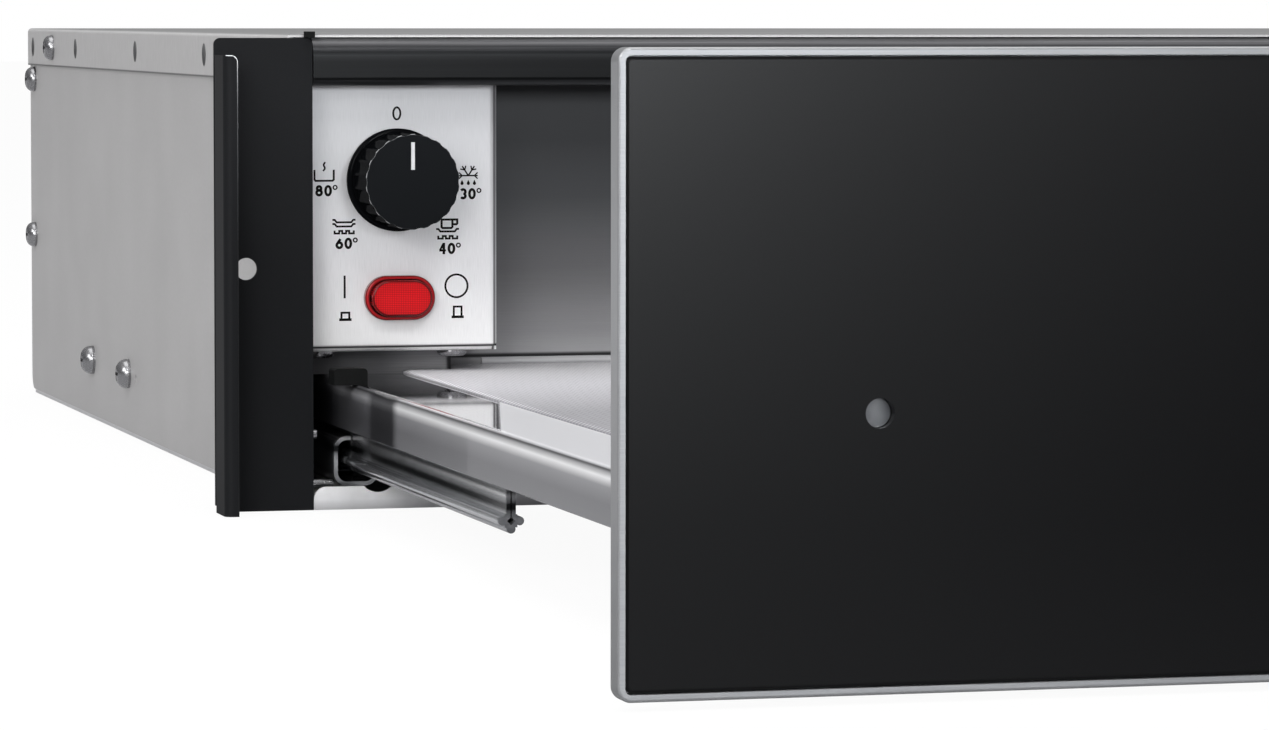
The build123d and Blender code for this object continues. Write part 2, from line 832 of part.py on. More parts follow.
with BuildPart() as light_pipe:
    lens_front = glass_rear - glass_thickness + lens_recess
    pipe = facing(controls_x, backing_rear - backing_sheet, switch_height, (0, -1, 0))
    pipe_length = backing_rear - backing_sheet - lens_front
    round_bar(pipe, lens_diameter - hole_fit, -backing_sheet, pipe_length)
    round_bar(pipe, lens_collar, sheet_fit, backing_sheet + sheet_fit)
keep(light_pipe, "light_pipe")

# ---------------------------------------------------------------- drawer tray

with BuildPart() as drawer_tray:
    skirt_low = tray_top - tray_skirt
    profile = (
        (-tray_half, skirt_low),
        (-tray_half, tray_top),
        (tray_half, tray_top),
        (tray_half, skirt_low),
    )
    section = folded(front_plane(tray_rear), profile, tray_bend, tray_sheet, Side.RIGHT)
    extrude(section, amount=tray_rear - tray_front)
    for edge in (tray_front, tray_rear - tray_sheet):
        block(
            (-tray_half + tray_bend + runner_width, tray_half - tray_bend - runner_width),
            (edge, edge + tray_sheet),
            (skirt_low, tray_top - tray_sheet / 2),
        )
    lip_rear = back_front - sheet_fit
    lip_front = lip_rear - tray_sheet - lip_bend
    block((back_left, back_right), (lip_front, lip_rear), (tray_top - tray_sheet / 2, tray_top + lip_rise))
    hollow = facing(back_left, lip_front, tray_top + lip_rise, (1, 0, 0))
    round_bar(hollow, 2 * lip_bend, 0, back_right - back_left, Mode.SUBTRACT)
keep(drawer_tray, "drawer_tray")

with BuildPart() as anti_slip_mat:
    mat_half = tray_half - mat_border
    mat_front = tray_front + tray_bend
    mat_rear = lip_front - sheet_fit
    with BuildSketch(Plane.XY.offset(tray_top)):
        with Locations((0, (mat_front + mat_rear) / 2)):
            RectangleRounded(2 * mat_half, mat_rear - mat_front, mat_radius)
    extrude(amount=mat_thickness)
    chamfer(anti_slip_mat.faces().sort_by(Axis.Z)[-1].edges(), length=mat_edge[0], length2=mat_edge[1])
    block(
        (-mat_half - mat_radius, strip_right + slide_gap),
        (strip_place - slide_gap, mat_rear + mat_radius),
        (tray_top, mat_top),
        Mode.SUBTRACT,
    )
keep(anti_slip_mat, "anti_slip_mat")

with BuildPart() as drawer_back:
    block((back_left, back_right), (back_front, back_front + back_sheet), (tray_top, back_top))
    block((back_left, back_right), (back_front, tray_rear), (tray_top, tray_top + back_sheet))
    block((strip_right, back_left), (back_front, back_front + back_sheet), (tray_top, edge_top))
    for low, high in ((back_left, back_left + back_sheet), (back_right - back_sheet, back_right)):
        block((low, high), (back_front, tray_rear), (tray_top, back_top))
    with BuildSketch(front_plane(back_front + 2 * back_sheet)):
        with Locations((fan_x, fan_low + fan_size / 2)):
            with GridLocations(vent_pitch, vent_height, vent_count, 1):
                SlotOverall(vent_height, vent_width, rotation=90)
    extrude(amount=4 * back_sheet, mode=Mode.SUBTRACT)
keep(drawer_back, "drawer_back")

with BuildPart() as tray_strip:
    block((strip_left, strip_right), (strip_place, strip_place + strip_sheet), (tray_top, edge_top))
    block((-mat_half, strip_right), (strip_place, back_front), (tray_top, tray_top + strip_sheet))
keep(tray_strip, "tray_strip")

with BuildPart() as tray_stops:
    for side in (-1, 1):
        outer = opening_half - stop_inset
        along = (stop_place, stop_place + stop_length)
        edges = sorted((side * outer, side * (outer - stop_width)))
        block(edges, along, (tray_top, tray_top + stop_height))
    fillet(tray_stops.edges().filter_by(Axis.Y).group_by(Axis.Z)[-1], radius=stop_corner)
keep(tray_stops, "tray_stops")

with BuildPart() as front_brackets:
    bracket_high = tray_top - tray_sheet - sheet_fit
    for side in (-1, 1):
        upright = sorted((side * bracket_place, side * (bracket_place - bracket_sheet)))
        foot = sorted((side * bracket_place, side * (bracket_place - bracket_width)))
        bracket_front = backing_rear + sheet_fit
        flat_front = bracket_front + tray_sheet + bracket_sheet
        block(foot, (bracket_front, bracket_front + bracket_sheet), (bracket_low, skirt_low - sheet_fit))
        block(upright, (bracket_front, bracket_front + bracket_length), (bracket_low, skirt_low - sheet_fit))
        block(upright, (flat_front, bracket_front + bracket_length), (bracket_low, bracket_high))
        flat_level = (bracket_high - bracket_sheet, bracket_high)
        block(foot, (flat_front, bracket_front + bracket_length), flat_level)
keep(front_brackets, "front_brackets")

with BuildPart() as drawer_buffers:
    for side in (-1, 1):
        for height in buffer_heights:
            buffer_place = facing(side * (front_half - buffer_inset), backing_rear, height, (0, 1, 0))
            buffer_length = -flange_sheet - slide_gap - (backing_rear + travel)
            round_bar(buffer_place, buffer_diameter, 0, buffer_length)
    fillet(drawer_buffers.edges().filter_by(GeomType.CIRCLE).group_by(Axis.Y)[-1], radius=buffer_round)
keep(drawer_buffers, "drawer_buffers")

with BuildPart() as latch_striker:
    striker_left = latch_x - striker_width / 2
    block(
        (striker_left, striker_left + striker_width),
        (back_front + back_sheet, back_front + back_sheet + bracket_sheet),
        (latch_low, latch_low + latch_height),
    )
keep(latch_striker, "latch_striker")

# ---------------------------------------------------------------- runners

def rail_section(place, centre_z, opens_up):
    """C section round a centre, with a slot in its top or in its bottom."""
    with BuildSketch(place) as section:
        with Locations((runner_x, centre_z)):
            RectangleRounded(runner_width, runner_height, runner_corner)
            RectangleRounded(
                runner_width - 2 * runner_sheet,
                runner_height - 2 * runner_sheet,
                runner_corner - runner_sheet,
                mode=Mode.SUBTRACT,
            )
        slot_z = centre_z + (runner_height / 2 if opens_up else -runner_height / 2)
        with Locations((runner_x, slot_z)):
            Rectangle(runner_slot, 3 * runner_sheet, mode=Mode.SUBTRACT)
    return section.sketch


with BuildPart() as cabinet_rail:
    section = rail_section(front_plane(cabinet_rail_front + cabinet_rail_length), lower_bulb_z, True)
    extrude(section, amount=cabinet_rail_length)
keep_pair(cabinet_rail, "cabinet_rail")

with BuildPart() as drawer_rail:
    section = rail_section(front_plane(drawer_rail_front + drawer_rail_length), upper_bulb_z, False)
    extrude(section, amount=drawer_rail_length)
keep_pair(drawer_rail, "drawer_rail")

with BuildPart() as middle_rail:
    with BuildSketch(front_plane(middle_rail_front + middle_rail_length)):
        with Locations((runner_x, (lower_bulb_z + upper_bulb_z) / 2)):
            Rectangle(web_thickness, upper_bulb_z - lower_bulb_z)
        for bulb_z in (lower_bulb_z, upper_bulb_z):
            with Locations((runner_x, bulb_z)):
                Rectangle(2 * bulb_waist, 2 * bulb_waist)
            for turn in (0, 90, 180, 270):
                across = (bulb_width / 2 - lobe_radius) * cos(radians(turn))
                rise = (bulb_height / 2 - lobe_radius) * sin(radians(turn))
                with Locations((runner_x + across, bulb_z + rise)):
                    Circle(lobe_radius)
            with Locations((runner_x, bulb_z)):
                Rectangle(bulb_hole, bulb_hole, rotation=45, mode=Mode.SUBTRACT)
        with Locations((runner_x, (lower_bulb_z + upper_bulb_z) / 2)):
            Rectangle(web_slit, upper_bulb_z - lower_bulb_z, mode=Mode.SUBTRACT)
    extrude(amount=middle_rail_length)
keep_pair(middle_rail, "middle_rail")


def ball_points(front, centre_z):
    """Ball centres of one cage: four rows, spaced evenly along it."""
    pitch = cage_length / cage_stations
    return [
        (runner_x + across * ball_offset_x, front + (station + 0.5) * pitch, centre_z + up * ball_offset_z)
        for station in range(cage_stations)
        for across in (-1, 1)
        for up in (-1, 1)
    ]


for cage_name, cage_front, cage_z, closed_side in (
    ("lower", lower_cage_front, lower_bulb_z, -1),
    ("upper", upper_cage_front, upper_bulb_z, 1),
):
    with BuildPart() as ball_cage:
        half_width = cage_width / 2
        cage_span = (cage_front, cage_front + cage_length)
        level = (cage_z - cage_height / 2, cage_z + cage_height / 2)
        block((runner_x - half_width, runner_x + half_width), cage_span, level)
        open_level = (level[0] + (closed_side < 0) * cage_sheet, level[1] - (closed_side > 0) * cage_sheet)
        open_level = (open_level[0] - (closed_side > 0), open_level[1] + (closed_side < 0))
        inner = half_width - cage_sheet
        block((runner_x - inner, runner_x + inner), cage_span, open_level, Mode.SUBTRACT)
        with Locations(*ball_points(cage_front, cage_z)):
            Sphere(ball_diameter / 2 + hole_fit, mode=Mode.SUBTRACT)
    keep_pair(ball_cage, f"{cage_name}_ball_cage")
    with BuildPart() as bearing_balls:
        with Locations(*ball_points(cage_front, cage_z)):
            Sphere(ball_diameter / 2)
    keep_pair(bearing_balls, f"{cage_name}_balls")

with BuildPart() as rail_supports:
    for place in support_places:
        along = (place - support_length / 2, place + support_length / 2)
        inner = runner_x + runner_width / 2
        outer = -base_half + base_sheet + sheet_fit
        block((outer, inner), along, (base_sheet, base_sheet + support_sheet))
        block((runner_x - runner_width / 4, inner), along, (base_sheet, cabinet_rail_low))
        block((outer, outer + support_sheet), along, (base_sheet, base_flange))
        if place in bolt_places:
            drill = facing(outer, place, bolt_height, (-1, 0, 0))
            round_bar(drill, bolt_size[2] + hole_fit, -2 * support_sheet, support_sheet, Mode.SUBTRACT)
keep_pair(rail_supports, "rail_supports")

# ---------------------------------------------------------------- heating

with BuildPart() as heater_element:
    path_points = [(heater_left, heater_tail, heater_height)]
    for run in range(heater_runs):
        x = heater_left + run * heater_pitch
        ends = (heater_rear, heater_front) if run % 2 == 0 else (heater_front, heater_rear)
        if run > 0:
            path_points.append((x, ends[0], heater_height))
        if run < heater_runs - 1:
            path_points.append((x, ends[1], heater_height))
    path_points.append((heater_left + (heater_runs - 1) * heater_pitch, heater_tail, heater_height))
    with BuildLine() as heater_path:
        FilletPolyline(*path_points, radius=heater_bend)
    with BuildSketch(Plane(origin=path_points[0], z_dir=(0, -1, 0))):
        Circle(heater_diameter / 2)
    sweep(path=heater_path.line)
keep(heater_element, "heater_element")

with BuildPart() as heater_clips:
    clip_left = heater_left - heater_pitch / 3
    clip_right = heater_left + (heater_runs - 1) * heater_pitch + heater_pitch / 3
    for place in (heater_front + clip_setback, heater_rear - clip_setback):
        low = heater_height + heater_diameter / 2 + sheet_fit
        block((clip_left, clip_right), (place, place + clip_width), (low, cover_under - sheet_fit))
keep(heater_clips, "heater_clips")

with BuildPart() as heater_guard:
    guard_x = (panel_right + 2 * slide_gap, wall_inner - sheet_fit)
    guard_y = (guard_plate_front, inner_rear - rear_flange - flange_gap)
    guard_z = (guard_plate_height, guard_plate_height + guard_sheet)
    block(guard_x, guard_y, guard_z)
    slot_length = (guard_y[1] - guard_y[0] - 2 * guard_border - guard_bridge) / 2
    slots = int((guard_x[1] - guard_x[0] - 2 * guard_border) / guard_slot_pitch)
    with BuildSketch(Plane.XY.offset(guard_plate_height - guard_sheet)):
        with Locations((sum(guard_x) / 2, sum(guard_y) / 2)):
            with GridLocations(guard_slot_pitch, slot_length + guard_bridge, slots, 2):
                SlotOverall(slot_length, guard_slot, rotation=90)
    extrude(amount=4 * guard_sheet, mode=Mode.SUBTRACT)
    block((guard_x[1] - guard_sheet, guard_x[1]), guard_y, (guard_plate_height, cover_under - sheet_fit))
    drill = facing(wall_inner, lip_screw_place, lip_middle, (1, 0, 0))
    round_bar(drill, lip_screw_size[2] + hole_fit, -3 * guard_sheet, guard_sheet, Mode.SUBTRACT)
    block(
        (guard_x[0], guard_x[0] + guard_sheet),
        (box_rear + flange_gap, guard_y[1]),
        (guard_plate_height, cover_under - sheet_fit),
    )
keep(heater_guard, "heater_guard")

# ---------------------------------------------------------------- fan

with BuildPart() as fan_housing:
    fan_rear = inner_rear - sheet_fit
    fan_front = fan_rear - fan_depth
    fan_middle = fan_low + fan_size / 2
    with BuildSketch(front_plane(fan_rear)):
        with Locations((fan_x, fan_middle)):
            RectangleRounded(fan_size, fan_size, fan_corner)
            Circle(fan_bore / 2, mode=Mode.SUBTRACT)
    extrude(amount=fan_depth)
    hub_plate = fan_depth - fan_hub_depth - 2 * slide_gap - pin_setback
    with BuildSketch(front_plane(fan_rear)):
        with Locations((fan_x, fan_middle)):
            Circle(fan_hub / 2)
            for turn in (45, 135):
                Rectangle(fan_bore + over_cut, fan_spoke, rotation=turn)
    extrude(amount=hub_plate)
    round_bar(facing(fan_x, fan_rear, fan_middle, (0, -1, 0)), fan_pin, 0, fan_depth - pin_setback)
keep(fan_housing, "fan_housing")

with BuildPart() as fan_rotor:
    rotor_axis = facing(fan_x, fan_rear - hub_plate - slide_gap, fan_middle, (0, -1, 0))
    round_bar(rotor_axis, fan_hub, 0, fan_hub_depth)
    fillet(fan_rotor.edges().filter_by(GeomType.CIRCLE).group_by(Axis.Y)[0], radius=hub_round)
    blade_root = fan_hub / 2 - fan_blade_sheet
    with Locations(rotor_axis.offset(fan_hub_depth / 2)):
        with PolarLocations((blade_root + fan_blade_reach) / 2, fan_blades):
            blade_length = fan_blade_reach - blade_root
            Box(blade_length, fan_blade_sheet, fan_blade_width, rotation=(fan_blade_twist, 0, 0))
    round_bar(rotor_axis, fan_pin + 2 * shaft_fit, -over_cut, fan_hub_depth + over_cut, Mode.SUBTRACT)
keep(fan_rotor, "fan_rotor")

# ---------------------------------------------------------------- mains entry and latch

with BuildPart() as cable_gland:
    gland_out = facing(gland_x, body_depth, gland_height, (0, 1, 0))
    round_bar(gland_out, gland_flange, sheet_fit, sheet_fit + gland_nut)
    round_bar(gland_out, gland_dome, sheet_fit + gland_nut, gland_length)
    fillet(cable_gland.edges().filter_by(GeomType.CIRCLE).group_by(Axis.Y)[-1], radius=gland_round)
    round_bar(gland_out, gland_thread, -wall_sheet - gland_nut - over_cut, sheet_fit)
    round_bar(gland_out, gland_bore, -gland_length, 2 * gland_length, Mode.SUBTRACT)
keep(cable_gland, "cable_gland")

with BuildPart() as gland_nut_ring:
    nut_place = front_plane(inner_rear - sheet_fit)
    with BuildSketch(nut_place):
        with Locations((gland_x, gland_height)):
            RegularPolygon(gland_flange / 2, 6, major_radius=False)
            Circle(gland_thread / 2 + sheet_fit, mode=Mode.SUBTRACT)
    extrude(amount=gland_nut)
keep(gland_nut_ring, "gland_nut")

with BuildPart() as terminal_block:
    terminal_rear = inner_rear - sheet_fit
    terminal_low = terminal_z - terminal_height / 2
    block(
        (gland_x - terminal_width / 2, gland_x + terminal_width / 2),
        (terminal_rear - terminal_depth, terminal_rear),
        (terminal_low, terminal_low + terminal_height),
    )
    way_pitch = terminal_width / terminal_ways
    with BuildSketch(Plane.XY.offset(terminal_low + terminal_height)):
        with Locations((gland_x, terminal_rear - terminal_depth / 2)):
            with GridLocations(way_pitch, terminal_depth / 2, terminal_ways, 2):
                Circle(way_pitch / 3)
    extrude(amount=-terminal_height / 2, mode=Mode.SUBTRACT)
keep(terminal_block, "terminal_block")

with BuildPart() as latch_housing:
    latch_rear = inner_rear - sheet_fit
    latch_front = latch_rear - latch_depth
    block(
        (latch_x - latch_width / 2, latch_x + latch_width / 2),
        (latch_front, latch_rear),
        (latch_low, latch_low + latch_height),
    )
    fillet(latch_housing.edges().filter_by(Axis.Y), radius=latch_corner)
    latch_axis = facing(latch_x, latch_front, latch_low + latch_height / 2, (0, -1, 0))
    bore_depth = latch_depth - 2 * wall_sheet
    round_bar(latch_axis, latch_stem + 2 * slide_gap, -bore_depth, over_cut, Mode.SUBTRACT)
keep(latch_housing, "latch_housing")

with BuildPart() as latch_plunger:
    striker_closed = back_front + back_sheet + bracket_sheet + travel
    plunger_tip = striker_closed + slide_gap
    plunger_rear = latch_front + bore_depth - latch_travel - slide_gap
    plunger_axis = facing(latch_x, plunger_rear, latch_low + latch_height / 2, (0, -1, 0))
    round_bar(plunger_axis, latch_stem, 0, plunger_rear - plunger_tip)
    fillet(latch_plunger.edges().filter_by(GeomType.CIRCLE).group_by(Axis.Y)[0], radius=plunger_round)
keep(latch_plunger, "latch_plunger")
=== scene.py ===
import math

import bmesh
import bpy
from mathutils import Matrix, Vector


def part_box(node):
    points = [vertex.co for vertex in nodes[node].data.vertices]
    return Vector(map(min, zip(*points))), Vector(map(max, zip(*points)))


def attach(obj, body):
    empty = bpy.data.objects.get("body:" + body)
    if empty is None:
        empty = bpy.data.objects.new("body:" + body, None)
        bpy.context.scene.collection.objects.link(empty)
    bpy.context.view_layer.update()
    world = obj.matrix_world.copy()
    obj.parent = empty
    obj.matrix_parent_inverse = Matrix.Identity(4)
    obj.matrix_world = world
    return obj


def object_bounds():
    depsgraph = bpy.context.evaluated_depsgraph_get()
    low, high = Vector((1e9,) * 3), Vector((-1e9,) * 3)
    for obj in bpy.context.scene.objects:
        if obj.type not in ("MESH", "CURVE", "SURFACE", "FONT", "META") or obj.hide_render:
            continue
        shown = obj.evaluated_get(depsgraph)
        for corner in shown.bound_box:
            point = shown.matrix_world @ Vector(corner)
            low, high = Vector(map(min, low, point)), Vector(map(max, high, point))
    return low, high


# Warming drawer, pulled out on its runners and seen from the front left.
# Everything is in metres; the part is drawn with X to the right and Y into the niche.

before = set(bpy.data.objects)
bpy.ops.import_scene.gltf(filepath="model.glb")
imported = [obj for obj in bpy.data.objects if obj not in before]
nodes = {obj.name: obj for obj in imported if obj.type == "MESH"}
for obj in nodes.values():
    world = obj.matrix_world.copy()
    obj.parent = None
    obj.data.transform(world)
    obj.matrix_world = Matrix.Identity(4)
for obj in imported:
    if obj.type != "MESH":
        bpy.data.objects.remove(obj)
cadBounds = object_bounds()
print("frame loaded:", len(nodes), "nodes")

mm = 0.001

# small helpers


# sRGB hex to a linear colour
def linear(code, alpha=1.0):
    levels = [int(code[i:i + 2], 16) / 255 for i in (1, 3, 5)]
    values = [v / 12.92 if v <= 0.04045 else ((v + 0.055) / 1.055) ** 2.4 for v in levels]
    return (*values, alpha)


# add a node; links maps an input to a value or to another node's socket
def addNode(tree, kind, links=None, **settings):
    node = tree.nodes.new(kind)
    for key, value in settings.items():
        setattr(node, key, value)
    for key, value in (links or {}).items():
        if isinstance(value, bpy.types.NodeSocket):
            tree.links.new(value, node.inputs[key])
        else:
            node.inputs[key].default_value = value
    return node


def blankMaterial(name):
    material = bpy.data.materials.new(name)
    material.use_nodes = True
    tree = material.node_tree
    tree.nodes.clear()
    return material, tree


# colour ramp with its stops given as (position, colour)
def ramp(tree, source, stops):
    node = addNode(tree, "ShaderNodeValToRGB", {"Fac": source})
    elements = node.color_ramp.elements
    while len(elements) < len(stops):
        elements.new(0.5)
    for element, (place, colour) in zip(elements, stops):
        element.position = place
        element.color = colour
    return node.outputs["Color"]


# map 0..1 to low..high
def spread(tree, source, low, high):
    node = addNode(tree, "ShaderNodeMapRange", {"Value": source, "To Min": low, "To Max": high})
    return node.outputs["Result"]


# noise whose features are sizes mm long on each axis
def grain(tree, sizes, detail=2.0, distortion=0.0):
    place = addNode(tree, "ShaderNodeTexCoord").outputs["Object"]
    scaled = addNode(tree, "ShaderNodeMapping", {
        "Vector": place,
        "Scale": [1 / (size * mm) for size in sizes],
    })
    noise = addNode(tree, "ShaderNodeTexNoise", {
        "Vector": scaled.outputs["Vector"],
        "Scale": 1.0,
        "Detail": detail,
        "Distortion": distortion,
    })
    return noise.outputs["Fac"]


def finishWith(tree, shader):
    addNode(tree, "ShaderNodeOutputMaterial", {"Surface": shader})


# rolled or brushed metal: a fine grain along one axis and slow clouds over it
def sheetMetal(name, dark, light, rough, sizes, bump=0.02, metallic=1.0, cloud=120.0):
    material, tree = blankMaterial(name)
    fine = grain(tree, sizes, detail=3.0)
    clouds = grain(tree, (cloud, cloud, cloud), detail=1.0)
    mixed = addNode(tree, "ShaderNodeMath", {0: fine, 1: clouds}, operation="ADD")
    half = addNode(tree, "ShaderNodeMath", {0: mixed.outputs[0], 1: 0.5}, operation="MULTIPLY")
    colour = ramp(tree, half.outputs[0], [(0.35, linear(dark)), (0.65, linear(light))])
    relief = addNode(tree, "ShaderNodeBump", {"Strength": bump, "Distance": 0.05 * mm, "Height": fine})
    shader = addNode(tree, "ShaderNodeBsdfPrincipled", {
        "Base Color": colour,
        "Metallic": metallic,
        "Roughness": spread(tree, fine, rough - 0.06, rough + 0.06),
        "IOR": 1.45,
        "Normal": relief.outputs["Normal"],
    })
    finishWith(tree, shader.outputs["BSDF"])
    return material


# colour along one axis of a node's own box, low to high
def boxRamp(tree, node, stops, axis="Z"):
    low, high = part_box(node)
    place = addNode(tree, "ShaderNodeTexCoord").outputs["Object"]
    parts = addNode(tree, "ShaderNodeSeparateXYZ", {"Vector": place})
    share = addNode(tree, "ShaderNodeMapRange", {
        "Value": parts.outputs[axis],
        "From Min": low["XYZ".index(axis)],
        "From Max": high["XYZ".index(axis)],
    })
    return ramp(tree, share.outputs["Result"], [(stop, linear(code)) for stop, code in stops])


# multiply two colours
def times(tree, first, second):
    return addNode(tree, "ShaderNodeMix", {0: 1.0, 6: first, 7: second}, data_type="RGBA",
                   blend_type="MULTIPLY").outputs[2]


# brushed sheet whose tone changes up its height, and along another axis if asked
def tintedSheet(name, node, stops, rough, sizes, metallic, bump=0.03, gloss=0.0, along=None,
                streaks="#d9d9d9", sheen=0.5, coatIor=2.2):
    material, tree = blankMaterial(name)
    fine = grain(tree, sizes, detail=3.0)
    tone = boxRamp(tree, node, stops)
    for axis, steps in (along or {}).items():
        tone = times(tree, tone, boxRamp(tree, node, steps, axis))
    streak = ramp(tree, fine, [(0.25, linear(streaks)), (0.75, linear("#ffffff"))])
    relief = addNode(tree, "ShaderNodeBump", {"Strength": bump, "Distance": 0.05 * mm, "Height": fine})
    shader = addNode(tree, "ShaderNodeBsdfPrincipled", {
        "Base Color": times(tree, tone, streak),
        "Metallic": metallic,
        "Specular IOR Level": sheen,
        "Roughness": spread(tree, fine, rough - 0.05, rough + 0.05),
        "Normal": relief.outputs["Normal"],
        "Coat Weight": gloss,
        "Coat IOR": coatIor,
        "Coat Roughness": 0.05,
    })
    finishWith(tree, shader.outputs["BSDF"])
    return material


# moulded plastic or rubber with a fine surface texture
def moulded(name, dark, light, rough, size=0.6, bump=0.1, ior=1.5, coat=0.0, sheen=0.5):
    material, tree = blankMaterial(name)
    fine = grain(tree, (size, size, size), detail=2.0)
    colour = ramp(tree, fine, [(0.3, linear(dark)), (0.7, linear(light))])
    relief = addNode(tree, "ShaderNodeBump", {"Strength": bump, "Distance": 0.03 * mm, "Height": fine})
    shader = addNode(tree, "ShaderNodeBsdfPrincipled", {
        "Base Color": colour,
        "Roughness": spread(tree, fine, rough - 0.05, rough + 0.05),
        "IOR": ior,
        "Specular IOR Level": sheen,
        "Coat Weight": coat,
        "Coat Roughness": 0.15,
        "Normal": relief.outputs["Normal"],
    })
    finishWith(tree, shader.outputs["BSDF"])
    return material

# metals

# hot-dip galvanised sheet: even mid grey with a very fine, soft spangle
galvanised = sheetMetal("galvanised_sheet_rolled", "#a8a7a7", "#b0afaf", rough=0.5,
                        sizes=(1.2, 3.0, 1.2), metallic=0.35, cloud=40)
# the runners are zinc plated and roll-formed; painted reflections: long dark and light bands up their profile
# and along their length
zincPlated = tintedSheet("zinc_plated_steel_roll_formed", "middle_rail_left", [
    (0.0, "#b0b2b4"), (0.07, "#d4d6d8"), (0.17, "#e4e6e8"), (0.24, "#b0b2b4"), (0.28, "#2c2e30"),
    (0.33, "#343638"), (0.38, "#d0d2d4"), (0.43, "#ffffff"), (0.47, "#8a8c8e"), (0.54, "#e8eaec"),
    (0.75, "#d0d2d4"), (1.0, "#c4c6c8"),
], rough=0.18, sizes=(1.2, 240.0, 1.2), metallic=0.7, bump=0.01, along={
    "Y": [(0.0, "#b4b4b6"), (0.002, "#b4b4b6"), (0.004, "#ffffff"), (0.14, "#ffffff"), (0.27, "#dcdcde"),
          (0.42, "#a4a4a6"), (0.496, "#8a8a8c"), (0.498, "#ffffff"), (0.502, "#ffffff"),
          (0.506, "#7a7a7c"), (1.0, "#9a9a9c")],
}, streaks="#d4d4d6")
# the fascia behind the front is fine brushed stainless, nearly white, darker towards the top as painted
# shade; painted shade lines at its bottom and right folds, with a painted highlight below the bottom one
brushedPanel = tintedSheet("stainless_sheet_fine_brushed", "control_panel", [
    (0.0, "#ffffff"), (0.012, "#ffffff"), (0.015, "#2c2c2e"), (0.02, "#2c2c2e"), (0.025, "#ffffff"),
    (0.3, "#f4f4f6"), (0.65, "#cbcbcd"), (1.0, "#b6b6b8"),
], rough=0.4, sizes=(0.14, 4.0, 5.0), metallic=0.3, bump=0.01, along={
    "X": [(0.0, "#ffffff"), (0.976, "#ffffff"), (0.981, "#6a6a6c"), (0.987, "#6a6a6c"), (0.991, "#ffffff"),
          (1.0, "#ffffff")],
}, streaks="#f0f0f0")
# the base pan is the same sheet, plain, with painted light: bright at its left, dimmer to the right and along
# its bottom edge
basePan = tintedSheet("stainless_sheet_base_folded", "base_panel", [
    (0.0, "#b8b8ba"), (0.1, "#f2f2f4"), (0.25, "#ffffff"), (1.0, "#e6e6e8"),
], rough=0.35, sizes=(6.0, 0.3, 6.0), metallic=0.35, bump=0.01, along={
    "X": [(0.0, "#ffffff"), (0.06, "#ffffff"), (0.11, "#fafafc"), (0.15, "#c4c4c6"), (1.0, "#c4c4c6")],
}, streaks="#f0f0f0")
# the cover is the same sheet as the walls; painted light and shade: a dark line along the foot of its lip, a
# highlight along its top bend, and its flat top darker as seen at a glancing angle
coverSheet = tintedSheet("galvanised_cover_rolled", "top_cover", [
    (0.0, "#686868"), (0.03, "#686868"), (0.05, "#bab9b9"), (0.9, "#bcbbbb"), (0.965, "#d2d1d1"),
    (0.992, "#a2a2a2"), (1.0, "#8a8a8a"),
], rough=0.5, sizes=(0.3, 0.35, 5.0), metallic=0.35, streaks="#e6e6e6")
# the upright at the tray's rear is the same sheet, brushed sideways; painted shade: a dark line near its
# foot, and darker towards the top, under the rail
brushedBack = tintedSheet("stainless_sheet_cross_brushed", "drawer_back", [
    (0.0, "#b4b4b6"), (0.03, "#b4b4b6"), (0.034, "#2a2a2c"), (0.042, "#2a2a2c"), (0.05, "#b4b4b6"),
    (0.12, "#9c9c9e"), (0.35, "#6c6c6e"), (0.6, "#404143"), (0.8, "#222325"), (0.95, "#1c1d1f"),
], rough=0.4, sizes=(30.0, 0.4, 0.2), metallic=0.5, streaks="#f2f2f2")
# the little strip under the fascia is the same sheet left dull, mid grey; painted light and shade along it:
# lighter towards its right, a highlight, then dark at its very end
dullStrip = tintedSheet("stainless_strip_dull_rolled", "tray_strip", [
    (0.0, "#98989a"), (1.0, "#8a8a8c"),
], rough=0.45, sizes=(20.0, 0.4, 0.4), metallic=0.4, bump=0.02, along={
    "X": [(0.0, "#8a8a8c"), (0.5, "#b0b0b2"), (0.96, "#ffffff"), (0.98, "#3a3a3c"), (1.0, "#3a3a3c")],
})
# satin anodised extrusion round the glass: soft light line along each edge
anodised = sheetMetal("aluminium_extrusion_satin_anodised", "#8a8b8d", "#97989a", rough=0.34,
                      sizes=(30.0, 0.3, 0.3), metallic=0.6)
# the front rail is polished stainless with painted reflections of the room: dark horizontal bands, lighter at
# its top and bottom bends
railReflections = tintedSheet("stainless_rail_polished_painted_reflections", "top_rail", [
    (0.0, "#404143"), (0.07, "#2e2f31"), (0.13, "#0e0f10"), (0.5, "#0f1011"), (0.66, "#222324"),
    (0.74, "#363739"), (0.83, "#48484a"), (0.9, "#666668"), (0.96, "#949496"), (1.0, "#d8d8da"),
], rough=0.3, sizes=(90.0, 0.35, 0.35), metallic=0.5, streaks="#a4a4a6", sheen=0.15)
# mid grey zinc screws with a small bright spot on each head
screwSteel = sheetMetal("zinc_screw_cold_headed", "#8a8a8c", "#a2a2a4", 0.26, (0.6, 0.6, 0.6))
# balls: light and mirror smooth
ballSteel = sheetMetal("bearing_steel_ground", "#9a9b9e", "#a8a9ac", 0.12, (0.4, 0.4, 0.4), bump=0.01)
# heater tube: brownish grey from the heat
heaterSheath = sheetMetal("heater_sheath_drawn_steel", "#4d4a47", "#6b6763", 0.45, (0.5, 8.0, 0.5), bump=0.05)
# knob shaft: light steel with fine turning rings
turnedSteel = sheetMetal("knob_shaft_turned_steel", "#85868a", "#9c9da1", 0.3, (0.5, 0.1, 0.5), bump=0.05)

# coatings, plastics and rubber

